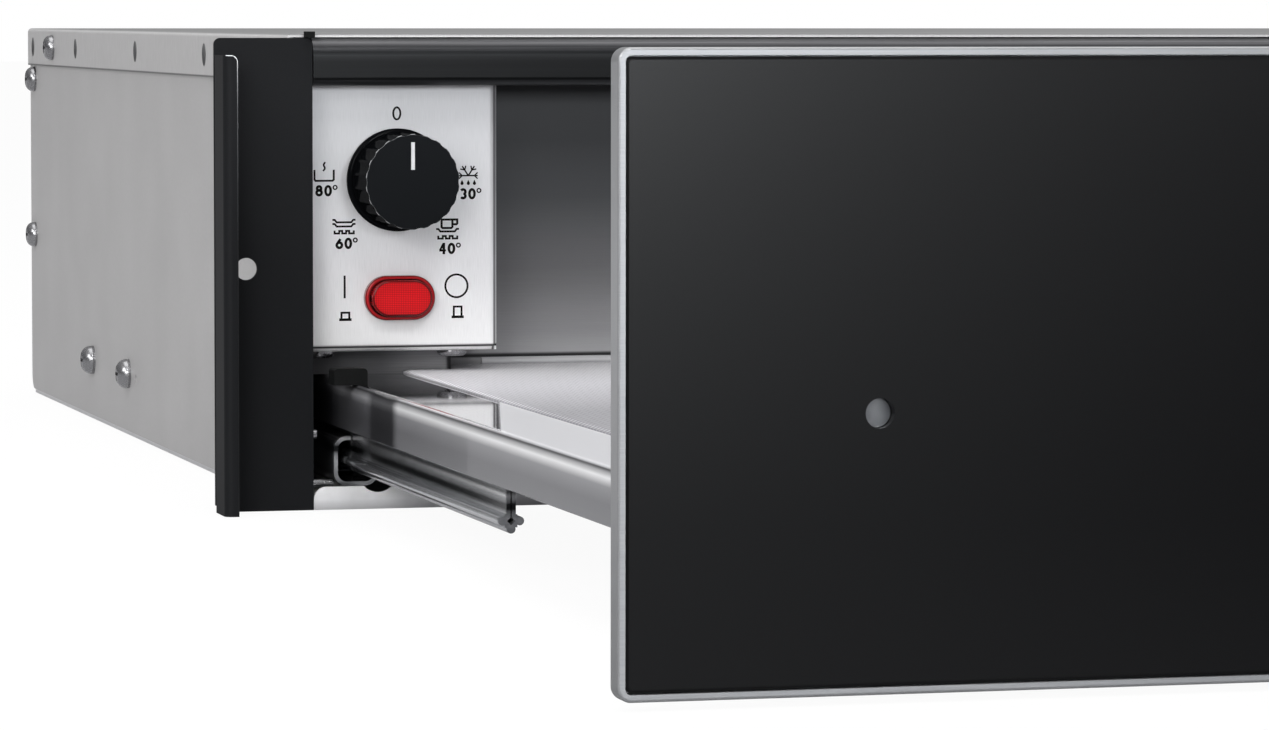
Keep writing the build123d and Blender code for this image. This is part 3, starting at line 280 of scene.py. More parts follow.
# black powder coat: almost flat black, with a dull sheen on the bends
powderCoat = moulded("steel_sheet_black_powder_coat", "#111214", "#161719", rough=0.55, size=0.35,
                     bump=0.06, sheen=0.11)
# gland and its nut: satin black
blackPlastic = moulded("abs_plastic_black_satin_moulded", "#0c0d0f", "#111215", rough=0.24, size=0.5,
                       bump=0.03, sheen=0.3)
# glossy black knob with a painted highlight: one thin light line round the rim of its face
knobPlastic = tintedSheet("phenolic_knob_black_moulded", "knob", [
    (0.0, "#a8a9ab"), (1.0, "#b4b5b7"),
], rough=0.2, sizes=(0.5, 0.5, 0.5), metallic=0.0, bump=0.01, gloss=0.05, along={
    "Y": [(0.0, "#27292b"), (0.003, "#27292b"), (0.006, "#ffffff"), (0.014, "#ffffff"), (0.019, "#181a1c"),
          (1.0, "#141517")],
}, streaks="#f0f0f0", sheen=0.0, coatIor=1.5)
# hidden housings: dull charcoal
mattPlastic = moulded("pbt_plastic_black_matt_moulded", "#191a1c", "#222326", 0.6, size=0.4, bump=0.15)
# terminal block and latch pin: undyed cream
creamPlastic = moulded("nylon_plastic_natural_moulded", "#cfcabb", "#dcd8cb", 0.5, size=0.7, bump=0.08)
# the knob's pointer: soft white bar with dark edges
whiteInlay = tintedSheet("pointer_inlay_white_moulded", "knob_pointer", [
    (0.0, "#c4c4c5"), (1.0, "#c8c8ca"),
], rough=0.4, sizes=(0.3, 0.3, 0.3), metallic=0.0, along={
    "X": [(0.0, "#141414"), (0.1, "#141414"), (0.13, "#ffffff"), (0.87, "#ffffff"), (0.9, "#141414"),
          (1.0, "#141414")],
}, streaks="#f0f0f0")
# pads, buffers and stops: dead black, slightly rough
softRubber = moulded("epdm_rubber_black_moulded", "#0c0d0d", "#131414", 0.75, size=0.3, bump=0.2, sheen=0.1)
# marks on the fascia: black with a hint of brown
printInk = moulded("screen_print_ink_black", "#0c0908", "#120f0d", 0.6, size=0.15, bump=0.05, sheen=0.08)


# toughened glass printed black on its rear: a deep even black under a clear gloss
def blackGlass():
    material, tree = blankMaterial("toughened_glass_back_printed_black")
    waves = grain(tree, (180.0, 180.0, 180.0), detail=0.0)
    colour = ramp(tree, waves, [(0.3, linear("#030304")), (0.7, linear("#050506"))])
    relief = addNode(tree, "ShaderNodeBump", {"Strength": 0.004, "Distance": 0.2 * mm, "Height": waves})
    shader = addNode(tree, "ShaderNodeBsdfPrincipled", {
        "Base Color": colour,
        "Roughness": 0.25,
        "IOR": 1.52,
        "Specular IOR Level": 0.2,
        "Coat Weight": 0.25,
        "Coat Roughness": 0.03,
        "Normal": relief.outputs["Normal"],
    })
    finishWith(tree, shader.outputs["BSDF"])
    return material


# bright-annealed stainless, close to a mirror: its flange and its skirt each carry painted bands of the
# room's reflection and shade
def trayFinish():
    material, tree = blankMaterial("stainless_sheet_bright_annealed")
    fine = grain(tree, (0.3, 80.0, 0.3), detail=3.0)
    # up its height, painted reflection and shade: dark skirt, light band at the bend, dark line, light flange
    height = boxRamp(tree, "drawer_tray", [
        (0.0, "#747477"), (0.3, "#6c6c6f"), (0.55, "#848487"), (0.68, "#dededf"), (0.75, "#a0a0a2"),
        (0.79, "#3c3c3e"), (0.825, "#e4e4e7"), (1.0, "#e4e4e7"),
    ])
    # along its depth, painted shade: the skirt and the flange each turn dark towards the rear
    side = boxRamp(tree, "drawer_tray", [
        (0.0, "#ffffff"), (0.72, "#ffffff"), (0.735, "#6a6a6c"), (0.785, "#6a6a6c"), (0.8, "#a8a8aa"),
        (0.9, "#4a4a4c"), (1.0, "#3a3a3c"),
    ], "Y")
    flange = boxRamp(tree, "drawer_tray", [
        (0.0, "#ffffff"), (0.67, "#ffffff"), (0.7, "#d8d8da"), (0.73, "#606062"), (0.78, "#363638"),
        (0.97, "#303032"), (0.978, "#ffffff"), (1.0, "#ffffff"),
    ], "Y")
    upper = boxRamp(tree, "drawer_tray", [
        (0.0, "#000000"), (0.8, "#000000"), (0.82, "#ffffff"), (1.0, "#ffffff"),
    ])
    depth = addNode(tree, "ShaderNodeMix", {0: upper, 6: side, 7: flange}, data_type="RGBA")
    painted = times(tree, height, depth.outputs[2])
    # behind a slanting line, set where the mirrored fascia's edge falls, the flange's flat is a mirror with
    # painted reflection tones; ahead of it, it is satin with painted light
    across, paintedSatinFrom, paintedSatinFully = (0.974, -0.2275, 0.0), -206.0, -205.2
    place = addNode(tree, "ShaderNodeTexCoord").outputs["Object"]
    slant = addNode(tree, "ShaderNodeVectorMath", {0: place, 1: across}, operation="DOT_PRODUCT")
    behind = addNode(tree, "ShaderNodeMapRange", {
        "Value": slant.outputs["Value"],
        "From Min": paintedSatinFrom * mm,
        "From Max": paintedSatinFully * mm,
        "To Min": 1.0,
        "To Max": 0.0,
    })
    flat = boxRamp(tree, "drawer_tray", [
        (0.0, "#000000"), (0.823, "#000000"), (0.8265, "#ffffff"), (0.84, "#ffffff"), (0.85, "#000000"),
        (1.0, "#000000"),
    ])
    mirrorShare = addNode(tree, "ShaderNodeMath", {
        0: behind.outputs["Result"],
        1: flat,
    }, operation="MULTIPLY").outputs[0]
    # painted reflection for the mirror zone: light grey where the fascia is mirrored, dark towards the rear
    mirror = boxRamp(tree, "drawer_tray", [
        (0.0, "#c0c0c2"), (0.5, "#c0c0c2"), (0.6, "#a8a8aa"), (0.69, "#b0b0b2"), (0.7, "#c8c8ca"),
        (0.715, "#c8c8ca"), (0.73, "#747476"), (0.79, "#4c4c4e"), (1.0, "#424244"),
    ], "Y")
    base = addNode(tree, "ShaderNodeMix", {0: mirrorShare, 6: painted, 7: mirror}, data_type="RGBA")
    relief = addNode(tree, "ShaderNodeBump", {"Strength": 0.01, "Distance": 0.05 * mm, "Height": fine})
    shader = addNode(tree, "ShaderNodeBsdfPrincipled", {
        "Base Color": base.outputs[2],
        "Metallic": spread(tree, mirrorShare, 0.2, 1.0),
        "IOR": 1.3,
        "Specular IOR Level": 0.3,
        "Roughness": spread(tree, mirrorShare, 0.3, 0.05),
        "Normal": relief.outputs["Normal"],
        "Coat Weight": 0.2,
        "Coat IOR": 1.7,
        "Coat Roughness": 0.02,
    })
    finishWith(tree, shader.outputs["BSDF"])
    return material


# moulded non-slip mat: pale grey with slanting rows of small raised dots
def matSilicone():
    material, tree = blankMaterial("silicone_mat_dotted_moulded")
    pitch = 2.3 * mm
    place = addNode(tree, "ShaderNodeTexCoord").outputs["Object"]
    scaled = addNode(tree, "ShaderNodeMapping", {
        "Vector": place,
        "Rotation": (0.0, 0.0, math.radians(45)),
        "Scale": (1 / pitch, 1 / pitch, 0.0),
    })
    cells = addNode(tree, "ShaderNodeVectorMath", {0: scaled.outputs["Vector"]}, operation="FRACTION")
    centred = addNode(tree, "ShaderNodeVectorMath", {
        0: cells.outputs["Vector"],
        1: (0.5, 0.5, 0.0),
    }, operation="SUBTRACT")
    reach = addNode(tree, "ShaderNodeVectorMath", {0: centred.outputs["Vector"]}, operation="LENGTH")
    dots = addNode(tree, "ShaderNodeMapRange", {
        "Value": reach.outputs["Value"],
        "From Min": 0.24,
        "From Max": 0.4,
        "To Min": 1.0,
        "To Max": 0.0,
    })
    colour = ramp(tree, dots.outputs["Result"], [(0.0, linear("#c4c3c6")), (1.0, linear("#f8f7fa"))])
    relief = addNode(tree, "ShaderNodeBump", {
        "Strength": 0.8,
        "Distance": 0.4 * mm,
        "Height": dots.outputs["Result"],
    })
    # painted light: darker towards the front and lighter towards the rear, lifting the shade under the cover
    paintedRearLight = boxRamp(tree, "anti_slip_mat", [
        (0.0, "#a4a4a6"), (0.6, "#b6b6b8"), (0.82, "#ececee"), (0.95, "#ffffff"), (1.0, "#ffffff"),
    ], "Y")
    shader = addNode(tree, "ShaderNodeBsdfPrincipled", {
        "Base Color": times(tree, colour, paintedRearLight),
        "Roughness": spread(tree, dots.outputs["Result"], 0.62, 0.5),
        "IOR": 1.41,
        "Normal": relief.outputs["Normal"],
    })
    finishWith(tree, shader.outputs["BSDF"])
    return material


# clear red polycarbonate; rings gives its tone from the stadium's middle line outwards, in mm
def redPolycarbonate(name, node, rings, grid=0.0):
    material, tree = blankMaterial(name)
    low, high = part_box(node)
    place = addNode(tree, "ShaderNodeTexCoord").outputs["Object"]
    centred = addNode(tree, "ShaderNodeVectorMath", {
        0: place,
        1: tuple((low[i] + high[i]) / 2 for i in range(3)),
    }, operation="SUBTRACT")
    parts = addNode(tree, "ShaderNodeSeparateXYZ", {"Vector": centred.outputs["Vector"]})
    # the stadium's straight middle is as long as its width less its height
    straight = (high[0] - low[0] - high[2] + low[2]) / 2
    across = addNode(tree, "ShaderNodeMath", {0: parts.outputs["X"]}, operation="ABSOLUTE")
    past = addNode(tree, "ShaderNodeMath", {0: across.outputs[0], 1: straight}, operation="SUBTRACT")
    over = addNode(tree, "ShaderNodeMath", {0: past.outputs[0], 1: 0.0}, operation="MAXIMUM")
    flat = addNode(tree, "ShaderNodeCombineXYZ", {"X": over.outputs[0], "Z": parts.outputs["Z"]})
    reach = addNode(tree, "ShaderNodeVectorMath", {0: flat.outputs["Vector"]}, operation="LENGTH")
    farthest = rings[-1][0]
    share = addNode(tree, "ShaderNodeMath", {0: reach.outputs["Value"], 1: farthest * mm}, operation="DIVIDE")
    tone = ramp(tree, share.outputs[0], [(far / farthest, linear(code)) for far, code in rings])
    height = grain(tree, (0.8, 0.8, 0.8), detail=1.0)
    if grid:
        scaled = addNode(tree, "ShaderNodeMapping", {
            "Vector": place,
            "Scale": (1 / (grid * mm), 0.0, 1 / (grid * mm)),
        })
        cells = addNode(tree, "ShaderNodeVectorMath", {0: scaled.outputs["Vector"]}, operation="FRACTION")
        marks = addNode(tree, "ShaderNodeSeparateXYZ", {"Vector": cells.outputs["Vector"]})
        height = addNode(tree, "ShaderNodeMath", {
            0: marks.outputs["X"],
            1: marks.outputs["Z"],
        }, operation="MINIMUM").outputs[0]
    speck = ramp(tree, height, [(0.1, linear("#9c9c9c")), (0.32, linear("#ffffff"))])
    relief = addNode(tree, "ShaderNodeBump", {"Strength": 0.15, "Distance": 0.05 * mm, "Height": height})
    shader = addNode(tree, "ShaderNodeBsdfPrincipled", {
        "Base Color": times(tree, tone, speck),
        "Roughness": 0.2,
        "IOR": 1.58,
        "Specular IOR Level": 0.25,
        "Subsurface Weight": 0.1,
        "Subsurface Radius": (0.002, 0.0004, 0.0004),
        "Normal": relief.outputs["Normal"],
    })
    finishWith(tree, shader.outputs["BSDF"])
    return material


# smoky clear lens of the pilot light with painted light: lighter on its left, darker on its right
def clearLens():
    material, tree = blankMaterial("acrylic_lens_smoky_moulded")
    fine = grain(tree, (3.0, 3.0, 3.0), detail=0.0)
    cloudy = ramp(tree, fine, [(0.3, linear("#e4e4e6")), (0.7, linear("#ffffff"))])
    across = boxRamp(tree, "light_pipe", [
        (0.0, "#8c8e91"), (0.35, "#787a7d"), (0.75, "#4a4c4f"), (1.0, "#3a3c3f"),
    ], "X")
    shader = addNode(tree, "ShaderNodeBsdfPrincipled", {
        "Base Color": times(tree, cloudy, across),
        "Roughness": 0.2,
        "IOR": 1.49,
        "Coat Weight": 0.5,
    })
    finishWith(tree, shader.outputs["BSDF"])
    return material


# the collar is dark inside; round its rim, a painted highlight: a bright band between darker rings
redCollar = redPolycarbonate("polycarbonate_red_collar_moulded", "switch_bezel", [
    (0.0, "#3c0608"), (5.5, "#3c0608"), (5.75, "#8c1216"), (6.2, "#b0181e"), (6.45, "#6c0c10"),
    (8.0, "#a0161b"),
])
# the cap: bright face with painted shade, a dark ring round the rim of its face, lighter again beyond
redCap = redPolycarbonate("polycarbonate_red_cap_gridded", "switch_cap", [
    (0.0, "#e2161e"), (4.7, "#d4141b"), (4.95, "#5a060a"), (5.15, "#5a060a"), (5.3, "#a01016"),
    (8.0, "#8c0e13"),
], grid=0.55)

finishes = {
    "galvanised": (galvanised, [
        "side_panel_left", "side_panel_right", "rear_panel", "control_box",
        "heater_guard", "rail_supports_left", "rail_supports_right", "front_brackets", "front_backing",
        "heater_clips", "latch_striker",
    ]),
    "cover": (coverSheet, ["top_cover"]),
    "panel": (brushedPanel, ["control_panel"]),
    "base": (basePan, ["base_panel"]),
    "tray": (trayFinish(), ["drawer_tray"]),
    "back": (brushedBack, ["drawer_back"]),
    "strip": (dullStrip, ["tray_strip"]),
    "frame": (anodised, ["front_frame"]),
    "rail": (railReflections, ["top_rail"]),
    "runner": (zincPlated, [
        "cabinet_rail_left", "cabinet_rail_right", "middle_rail_left", "middle_rail_right",
        "drawer_rail_left", "drawer_rail_right", "lower_ball_cage_left", "lower_ball_cage_right",
        "upper_ball_cage_left", "upper_ball_cage_right",
    ]),
    "balls": (ballSteel, ["lower_balls_left", "lower_balls_right", "upper_balls_left", "upper_balls_right"]),
    "screws": (screwSteel, ["body_screws", "panel_screws"]),
    "shaft": (turnedSteel, ["knob_shaft"]),
    "heater": (heaterSheath, ["heater_element"]),
    "coat": (powderCoat, ["front_flange_left", "front_flange_right"]),
    "glass": (blackGlass(), ["glass_panel"]),
    "mat": (matSilicone(), ["anti_slip_mat"]),
    "black": (blackPlastic, ["cable_gland", "gland_nut"]),
    "knob": (knobPlastic, ["knob"]),
    "matt": (mattPlastic, ["fan_housing", "fan_rotor", "switch_housing", "latch_housing", "thermostat"]),
    "cream": (creamPlastic, ["terminal_block", "latch_plunger"]),
    "pointer": (whiteInlay, ["knob_pointer"]),
    "rubber": (softRubber, ["corner_pads", "drawer_buffers", "tray_stops"]),
    "collar": (redCollar, ["switch_bezel"]),
    "cap": (redCap, ["switch_cap"]),
    "lens": (clearLens(), ["light_pipe"]),
}
for material, names in finishes.values():
    for name in names:
        mesh = nodes[name].data
        mesh.materials.clear()
        mesh.materials.append(material)
bare = sorted(set(nodes) - {name for _, names in finishes.values() for name in names})
print("finishes set; nodes without one:", bare)

# print on the control panel: thin black ribbons that stand on its face
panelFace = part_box("control_panel")[0][1]
inkDepth = 0.04 * mm


# mesh of a finished bmesh
def meshFrom(work, label):
    mesh = bpy.data.meshes.new(label)
    work.to_mesh(mesh)
    work.free()
    return mesh


# put a mesh in the scene under its own name
def placeMesh(name, mesh, material):
    mesh.materials.append(material)
    thing = bpy.data.objects.new(name, mesh)
    bpy.context.scene.collection.objects.link(thing)
    return thing


# flat line of even width through points given in mm, with mitred corners
def ribbon(mesh, points, width, closed=False, face=panelFace):
    count = len(points)
    rims = []
    for i in range(count):
        here = Vector(points[i])
        before = Vector(points[i - 1]) if closed or i > 0 else None
        after = Vector(points[(i + 1) % count]) if closed or i < count - 1 else None
        first = (here - before).normalized() if before is not None else (after - here).normalized()
        second = (after - here).normalized() if after is not None else first
        normal = Vector((-first.y, first.x)) + Vector((-second.y, second.x))
        normal.normalize()
        share = max(0.5, normal.dot(Vector((-first.y, first.x))))
        rims.append((here + normal * width / 2 / share, here - normal * width / 2 / share))
    last = count if closed else count - 1
    for i in range(last):
        a, b = rims[i], rims[(i + 1) % count]
        corners = (a[0], b[0], b[1], a[1])
        front = [mesh.verts.new((p.x * mm, face - inkDepth, p.y * mm)) for p in corners]
        rear = [mesh.verts.new((p.x * mm, face, p.y * mm)) for p in corners]
        mesh.faces.new(front)
        for j in range(4):
            mesh.faces.new((front[j], rear[j], rear[(j + 1) % 4], front[(j + 1) % 4]))


def ellipse(centre, width, height, steps=28):
    return [
        (centre[0] + width / 2 * math.cos(2 * math.pi * i / steps),
         centre[1] + height / 2 * math.sin(2 * math.pi * i / steps))
        for i in range(steps)
    ]


def arc(centre, radius, start, end, steps=10):
    return [
        (centre[0] + radius * math.cos(math.radians(start + (end - start) * i / steps)),
         centre[1] + radius * math.sin(math.radians(start + (end - start) * i / steps)))
        for i in range(steps + 1)
    ]


# one numeral whose lower left corner is at x, z
def digit(mesh, character, x, z, height, stroke):
    h = height - stroke
    w = h * 0.6
    x = x + stroke / 2
    z = z + stroke / 2
    if character == "0":
        ribbon(mesh, ellipse((x + w / 2, z + h / 2), w, h), stroke, True)
    elif character == "3":
        r = h * 0.27
        ribbon(mesh, arc((x + w / 2, z + h - r), r, 150, -80), stroke)
        ribbon(mesh, arc((x + w / 2, z + r), r, 80, -150), stroke)
    elif character == "4":
        ribbon(mesh, [(x + w * 0.74, z - stroke / 2), (x + w * 0.74, z + h + stroke / 2)], stroke)
        ribbon(mesh, [(x - stroke * 0.3, z + h * 0.28), (x + w + stroke * 0.3, z + h * 0.28)], stroke * 0.8)
        ribbon(mesh, [(x, z + h * 0.3), (x + w * 0.62, z + h)], stroke * 0.8)
    elif character == "6":
        r = h * 0.3
        ribbon(mesh, [(x + w * 0.72, z + h), (x + w / 2 - r * 0.9, z + r * 1.45)], stroke)
        ribbon(mesh, ellipse((x + w / 2, z + r), 2 * r, 2 * r), stroke, True)
    elif character == "8":
        r = h * 0.235
        ribbon(mesh, ellipse((x + w / 2, z + h - r), 2 * r, 2 * r), stroke, True)
        ribbon(mesh, ellipse((x + w / 2, z + h * 0.28), h * 0.58, h * 0.56), stroke, True)
    return w + stroke


# numerals centred on x, with a degree ring after them
def numeral(mesh, text, x, z, height, stroke, degree=True):
    step = (height - stroke) * 0.6 + stroke * 1.45
    start = x - step * len(text) / 2
    ring = 1.15
    for i, character in enumerate(text):
        digit(mesh, character, start + i * step, z - height / 2, height, stroke)
    if degree:
        centre = (start + step * len(text) + 0.6, z + height / 2 - 0.75)
        ribbon(mesh, ellipse(centre, ring, ring, 18), 0.42, True)


# side view of a dish: a flat bottom with turned-up rims
def plate(mesh, x, z, width, stroke=0.58):
    half = width / 2
    ribbon(mesh, [
        (x - half, z + 0.75), (x - half + 0.7, z + 0.75), (x - half + 1.3, z),
        (x + half - 1.3, z), (x + half - 0.7, z + 0.75), (x + half, z + 0.75),
    ], stroke)


# heating element: a square wave
def heat(mesh, x, z, width=5.9, stroke=0.58):
    half, tall = width / 2, 0.9
    marks = [-half] + [-half + width * share for share in (0.24, 0.4, 0.6, 0.76)] + [half]
    line = [(x + marks[0], z + tall), (x + marks[0], z)]
    for low, high in ((1, 2), (3, 4)):
        line += [(x + marks[low], z), (x + marks[low], z + tall * 0.85),
                 (x + marks[high], z + tall * 0.85), (x + marks[high], z)]
    line += [(x + marks[5], z), (x + marks[5], z + tall)]
    ribbon(mesh, line, stroke)


# water drop: one filled patch, pointed at the top
def drop(mesh, x, z):
    points = [(x, z + 1.1)] + arc((x, z), 0.5, 25, -205, 12)
    mesh.faces.new([mesh.verts.new((px * mm, panelFace - inkDepth, pz * mm)) for px, pz in points])


# line widths, numeral height and the middle of each mark, all in mm
icons = {
    "stroke": 0.66,
    "thin": 0.6,
    "hair": 0.45,
    "numeral": 3.45,
    "numeralStroke": 0.8,
    "off": (-238.5, 118.35),
    "pot": (-261.0, 98.2),
    "plates": (-254.95, 84.4),
    "cup": (-223.0, 82.6),
    "frost": (-216.55, 99.45),
    "nudge": (-0.66, -0.15),
}
ink = bmesh.new()
stroke, thin, hair = icons["stroke"], icons["thin"], icons["hair"]
tall, bold = icons["numeral"], icons["numeralStroke"]

# off mark above the knob
numeral(ink, "0", *icons["off"], 4.25, 0.6, degree=False)

# open pot with one curl of steam, 80 degrees
x, z = icons["pot"]
ribbon(ink, [
    (x - 2.95, z + 3.3), (x - 2.95, z + 0.35), (x - 2.6, z),
    (x + 2.6, z), (x + 2.95, z + 0.35), (x + 2.95, z + 3.3),
], thin)
ribbon(ink, [
    (x + 0.35, z + 5.6), (x - 0.15, z + 4.9), (x - 0.1, z + 4.5),
    (x + 0.2, z + 4.0), (x + 0.2, z + 3.6), (x - 0.3, z + 2.9),
], 0.55)
numeral(ink, "80", x, 95.2, tall, bold)

# two plates over the element, 60 degrees
x, z = icons["plates"]
plate(ink, x, z + 1.25, 7.1)
plate(ink, x, z, 7.1)
heat(ink, x + 0.05, 82.3)
numeral(ink, "60", x + 0.1, 79.3, tall, bold)

# cup on its saucer over the element, 40 degrees
x, z = icons["cup"]
ribbon(ink, [
    (x - 1.85, 86.0), (x - 1.85, 83.95), (x - 1.5, 83.65),
    (x + 1.15, 83.65), (x + 1.5, 83.95), (x + 1.5, 86.0),
], stroke)
ribbon(ink, [
    (x - 2.1, 86.2), (x + 3.0, 86.2), (x + 3.0, 85.0), (x + 2.75, 84.75), (x + 1.5, 84.75),
], stroke)
plate(ink, x, z, 7.1)
heat(ink, x + 0.05, 80.45)
numeral(ink, "40", x, 77.45, tall, bold)

# half a frost star over three drops, 30 degrees
x, z = icons["frost"]
ribbon(ink, [(x - 2.95, z), (x + 2.95, z)], hair)
for sign in (-1, 1):
    ribbon(ink, [(x, z), (x + sign * 1.9, z + 2.9)], hair)
    ribbon(ink, [(x + sign * 1.1, z + 1.7), (x + sign * 0.8, z + 3.0)], 0.4)
    ribbon(ink, [(x + sign * 1.1, z + 1.7), (x + sign * 2.5, z + 2.0)], 0.4)
    ribbon(ink, [(x + sign * 1.9, z), (x + sign * 2.9, z + 0.95)], 0.4)
    ribbon(ink, [(x + sign * 1.9, z), (x + sign * 2.9, z - 0.95)], 0.4)
for shift in (-1.95, 0.0, 1.9):
    drop(ink, x + shift, 97.1)
numeral(ink, "30", x - 0.05, 93.95, tall, bold)

# on and off marks beside the switch
ribbon(ink, [(-254.8, 62.75), (-254.8, 69.6)], 0.62)
ribbon(ink, ellipse((-220.27, 66.1), 6.9, 6.9, 40), 0.6, True)
for x, z, rise in ((-254.6, 56.3, 2.1), (-219.9, 56.7, 3.1)):
    ribbon(ink, [(x - 1.2, z), (x - 1.2, z + rise), (x + 1.2, z + rise), (x + 1.2, z)], 0.6)
    ribbon(ink, [(x - 1.9, z), (x + 1.9, z)], 0.8)

# the whole print sits a touch to the left of the marks as first measured
nudgeX, nudgeZ = icons["nudge"]
bmesh.ops.translate(ink, vec=(nudgeX * mm, 0, nudgeZ * mm), verts=ink.verts[:])
printObject = placeMesh("panel_print", meshFrom(ink, "panelPrint"), printInk)
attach(printObject, "casing")
print("panel print:", len(printObject.data.polygons), "faces")

# painted highlight: a thin bright line along the free edge of each black plate's folded return
# sizes in mm
plateEdge = {
    "fold": 4.1,
    "drop": 5.0,
    "corner": 2.0,
    "inset": 0.1,
    "foot": 0.6,
    "reach": 3.6,
    "width": 0.22,
}
plateLow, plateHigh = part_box("front_flange_left")
edgeX, edgeTop = plateLow[0] / mm + plateEdge["fold"], plateHigh[2] / mm - plateEdge["drop"]
turn, inset = plateEdge["corner"], plateEdge["inset"]
line = [(edgeX - inset, plateEdge["foot"])]
line += arc((edgeX - turn, edgeTop - turn), turn - inset, 0, 90, 6)
line += [(edgeX - plateEdge["reach"], edgeTop - inset)]
glint = bmesh.new()
for side in (1, -1):
    ribbon(glint, [(side * px, pz) for px, pz in line], plateEdge["width"], face=plateLow[1])
# painted highlight: bright at the top corner, fading to the plate's black further down
edgeHighlight = tintedSheet("powder_coat_edge_painted_highlight", "front_flange_left", [
    (0.0, "#18191a"), (0.6, "#1e1f20"), (0.86, "#343537"), (0.93, "#7c7d7f"), (0.965, "#d8d9db"),
    (1.0, "#d8d9db"),
], rough=0.3, sizes=(0.4, 0.4, 6.0), metallic=0.3, streaks="#c8c8c8")
glintObject = placeMesh("plate_edges", meshFrom(glint, "plateEdges"), edgeHighlight)
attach(glintObject, "casing")
print("plate edges:", len(glintObject.data.polygons), "faces")

# clinch dimples along the cover's left and right lips: shallow bowls in the recesses, coloured dark as
# painted shade
# sizes in mm
clinch = {
    "places": (138, 271, 403, 508),
    "height": 134.9,
    "radius": 3.6,
    "rim": 0.05,
    "bowl": 0.45,
    "steps": 24,
}
coverLow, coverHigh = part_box("top_cover")
radius, steps = clinch["radius"] * mm, clinch["steps"]
dimples = bmesh.new()
for side, face in ((-1, coverLow[0]), (1, coverHigh[0])):
    for depth in clinch["places"]:
        rings = []
        for share in (1.0, 0.92, 0.6, 0.25):
            inset = clinch["rim"] * mm + clinch["bowl"] * mm * (1 - share ** 2)
            rings.append([dimples.verts.new((
                face - side * inset,
                depth * mm + radius * share * math.cos(2 * math.pi * i / steps),
                clinch["height"] * mm + radius * share * math.sin(2 * math.pi * i / steps),
            )) for i in range(steps)])
        for outer, inner in zip(rings, rings[1:]):
            for i in range(steps):
                dimples.faces.new((outer[i], outer[(i + 1) % steps], inner[(i + 1) % steps], inner[i]))
        dimples.faces.new(rings[-1])
# painted shade: the bowls' dark grey stands in for the shade in the recesses
dimpleShade = sheetMetal("galvanised_dimple_painted_shade", "#3c3c3d", "#505051", rough=0.4,
                           sizes=(0.8, 0.8, 0.8), metallic=0.5)
dimpleObject = placeMesh("cover_dimples", meshFrom(dimples, "coverDimples"), dimpleShade)
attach(dimpleObject, "casing")
print("cover dimples:", len(dimpleObject.data.polygons), "faces")

# studio: white paper, a soft grey room and five softboxes


# white seamless paper: the camera sees it nearly pure white, with the shadow kept faint
def floorPaper():
    material, tree = blankMaterial("paper_backdrop_white_matt")
    fibres = grain(tree, (4.0, 4.0, 4.0), detail=2.0)
    colour = ramp(tree, fibres, [(0.2, linear("#f2f2f2")), (0.8, linear("#f6f6f6"))])
    matt = addNode(tree, "ShaderNodeBsdfDiffuse", {"Color": colour})
    glow = addNode(tree, "ShaderNodeEmission", {"Color": (1, 1, 1, 1), "Strength": 1.0})
    rays = addNode(tree, "ShaderNodeLightPath")
    share = addNode(tree, "ShaderNodeMath", {0: rays.outputs["Is Camera Ray"], 1: 0.95}, operation="MULTIPLY")
    both = addNode(tree, "ShaderNodeMixShader", {
        "Fac": share.outputs[0],
        1: matt.outputs["BSDF"],
        2: glow.outputs["Emission"],
    })
    # painted reflection: glossy rays see the paper glow in set tones, darkest just in front of the object and
    # light beneath and behind it
    place = addNode(tree, "ShaderNodeNewGeometry").outputs["Position"]
    parts = addNode(tree, "ShaderNodeSeparateXYZ", {"Vector": place})
    depth = addNode(tree, "ShaderNodeMapRange", {
        "Value": parts.outputs["Y"],
        "From Min": -10.0,
        "From Max": 2.0,
    })
    dim = ramp(tree, depth.outputs["Result"], [
        (0.0, linear("#8a8a8c")), (0.35, linear("#6a6a6c")), (0.62, linear("#4c4c4e")),
        (0.76, linear("#39393b")), (0.8, linear("#8a8a8c")), (0.86, linear("#d0d0d2")),
        (1.0, linear("#e0e0e2")),
    ])
    seen = addNode(tree, "ShaderNodeEmission", {"Color": dim, "Strength": 1.0})
    mirrored = addNode(tree, "ShaderNodeMixShader", {
        "Fac": rays.outputs["Is Glossy Ray"],
        1: both.outputs["Shader"],
        2: seen.outputs["Emission"],
    })
    finishWith(tree, mirrored.outputs["Shader"])
    return material


floorReach, floorGap = 14.0, 0.5 * mm
floorMesh = bpy.data.meshes.new("floor")
corners = [(floorReach * i, floorReach * j, 0) for i, j in ((-1, -1), (1, -1), (1, 1), (-1, 1))]
floorMesh.from_pydata(corners, [], [(0, 1, 2, 3)])
floorSheet = placeMesh("paper_floor", floorMesh, floorPaper())
floorSheet.location.z = cadBounds[0][2] - floorGap

world = bpy.data.worlds.new("studio")
bpy.context.scene.world = world
world.use_nodes = True
tree = world.node_tree
tree.nodes.clear()
place = addNode(tree, "ShaderNodeTexCoord").outputs["Generated"]
parts = addNode(tree, "ShaderNodeSeparateXYZ", {"Vector": place})
sky = ramp(tree, spread(tree, parts.outputs["Z"], 0.5, 1.0), [
    (0.5, linear("#8c8c8e")), (0.75, linear("#c9c9cb")), (1.0, linear("#f0f0f0")),
])
soft = addNode(tree, "ShaderNodeBackground", {"Color": sky, "Strength": 0.75})
plain = addNode(tree, "ShaderNodeBackground", {"Color": (1, 1, 1, 1), "Strength": 1.0})
rays = addNode(tree, "ShaderNodeLightPath")
mixed = addNode(tree, "ShaderNodeMixShader", {
    "Fac": rays.outputs["Is Camera Ray"],
    1: soft.outputs["Background"],
    2: plain.outputs["Background"],
})
addNode(tree, "ShaderNodeOutputWorld", {"Surface": mixed.outputs["Shader"]})


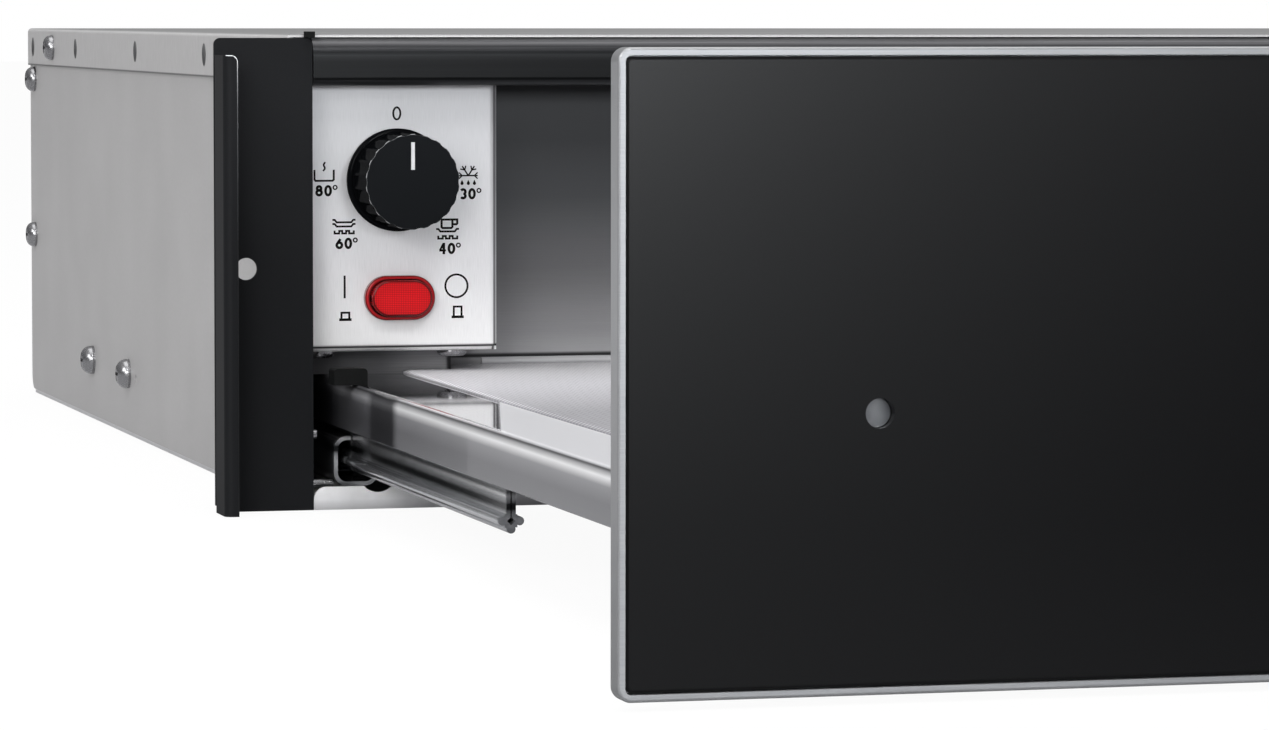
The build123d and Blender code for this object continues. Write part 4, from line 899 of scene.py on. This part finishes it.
def softbox(name, place, aim, size, power, tint=(1, 1, 1)):
    data = bpy.data.lights.new(name, "AREA")
    data.shape = "RECTANGLE"
    data.size, data.size_y = size
    data.energy = power
    data.color = tint
    lamp = bpy.data.objects.new(name, data)
    lamp.location = place
    lamp.rotation_euler = (Vector(aim) - Vector(place)).to_track_quat("-Z", "Y").to_euler()
    bpy.context.scene.collection.objects.link(lamp)


softbox("key_left", (-1.9, -1.3, 1.5), (0, 0, 0.05), (1.4, 1.2), 26)
softbox("front_fill", (0.38, -4.4, 0.52), (-0.1, -0.2, 0.07), (0.4, 0.4), 40, (0.94, 0.97, 1.0))
softbox("gap_fill", (-1.2, -2.0, 0.6), (-0.23, 0, 0.07), (0.7, 0.7), 17)
softbox("over_front", (-0.25, -1.5, 1.5), (-0.15, 0.0, 0.04), (0.6, 0.4), 10)
softbox("top", (0.0, 0.1, 2.0), (0, 0, 0), (2.0, 2.0), 24)
print("studio set")

# camera, solved from the photo's outlines
cameraFit = {
    "place": (-0.5887, -1.5907, 0.1494),
    "yaw": 14.804,
    "pitch": -3.740,
    "roll": 0.052,
    "lens": 154.14,
}
yaw, pitch, roll = (math.radians(cameraFit[key]) for key in ("yaw", "pitch", "roll"))
forward = Vector((math.sin(yaw) * math.cos(pitch), math.cos(yaw) * math.cos(pitch), math.sin(pitch)))
right = Vector((math.cos(yaw), -math.sin(yaw), 0))
up = right.cross(forward)
right, up = right * math.cos(roll) + up * math.sin(roll), up * math.cos(roll) - right * math.sin(roll)
cameraData = bpy.data.cameras.new("photo_view")
cameraData.sensor_width = 36
cameraData.lens = cameraFit["lens"]
cameraData.clip_start = 0.05
camera = bpy.data.objects.new("photo_view", cameraData)
camera.matrix_world = Matrix((
    (right.x, up.x, -forward.x, cameraFit["place"][0]),
    (right.y, up.y, -forward.y, cameraFit["place"][1]),
    (right.z, up.z, -forward.z, cameraFit["place"][2]),
    (0, 0, 0, 1),
))
bpy.context.scene.collection.objects.link(camera)
bpy.context.scene.camera = camera
bpy.context.scene.view_settings.view_transform = "Standard"

print("camera set")
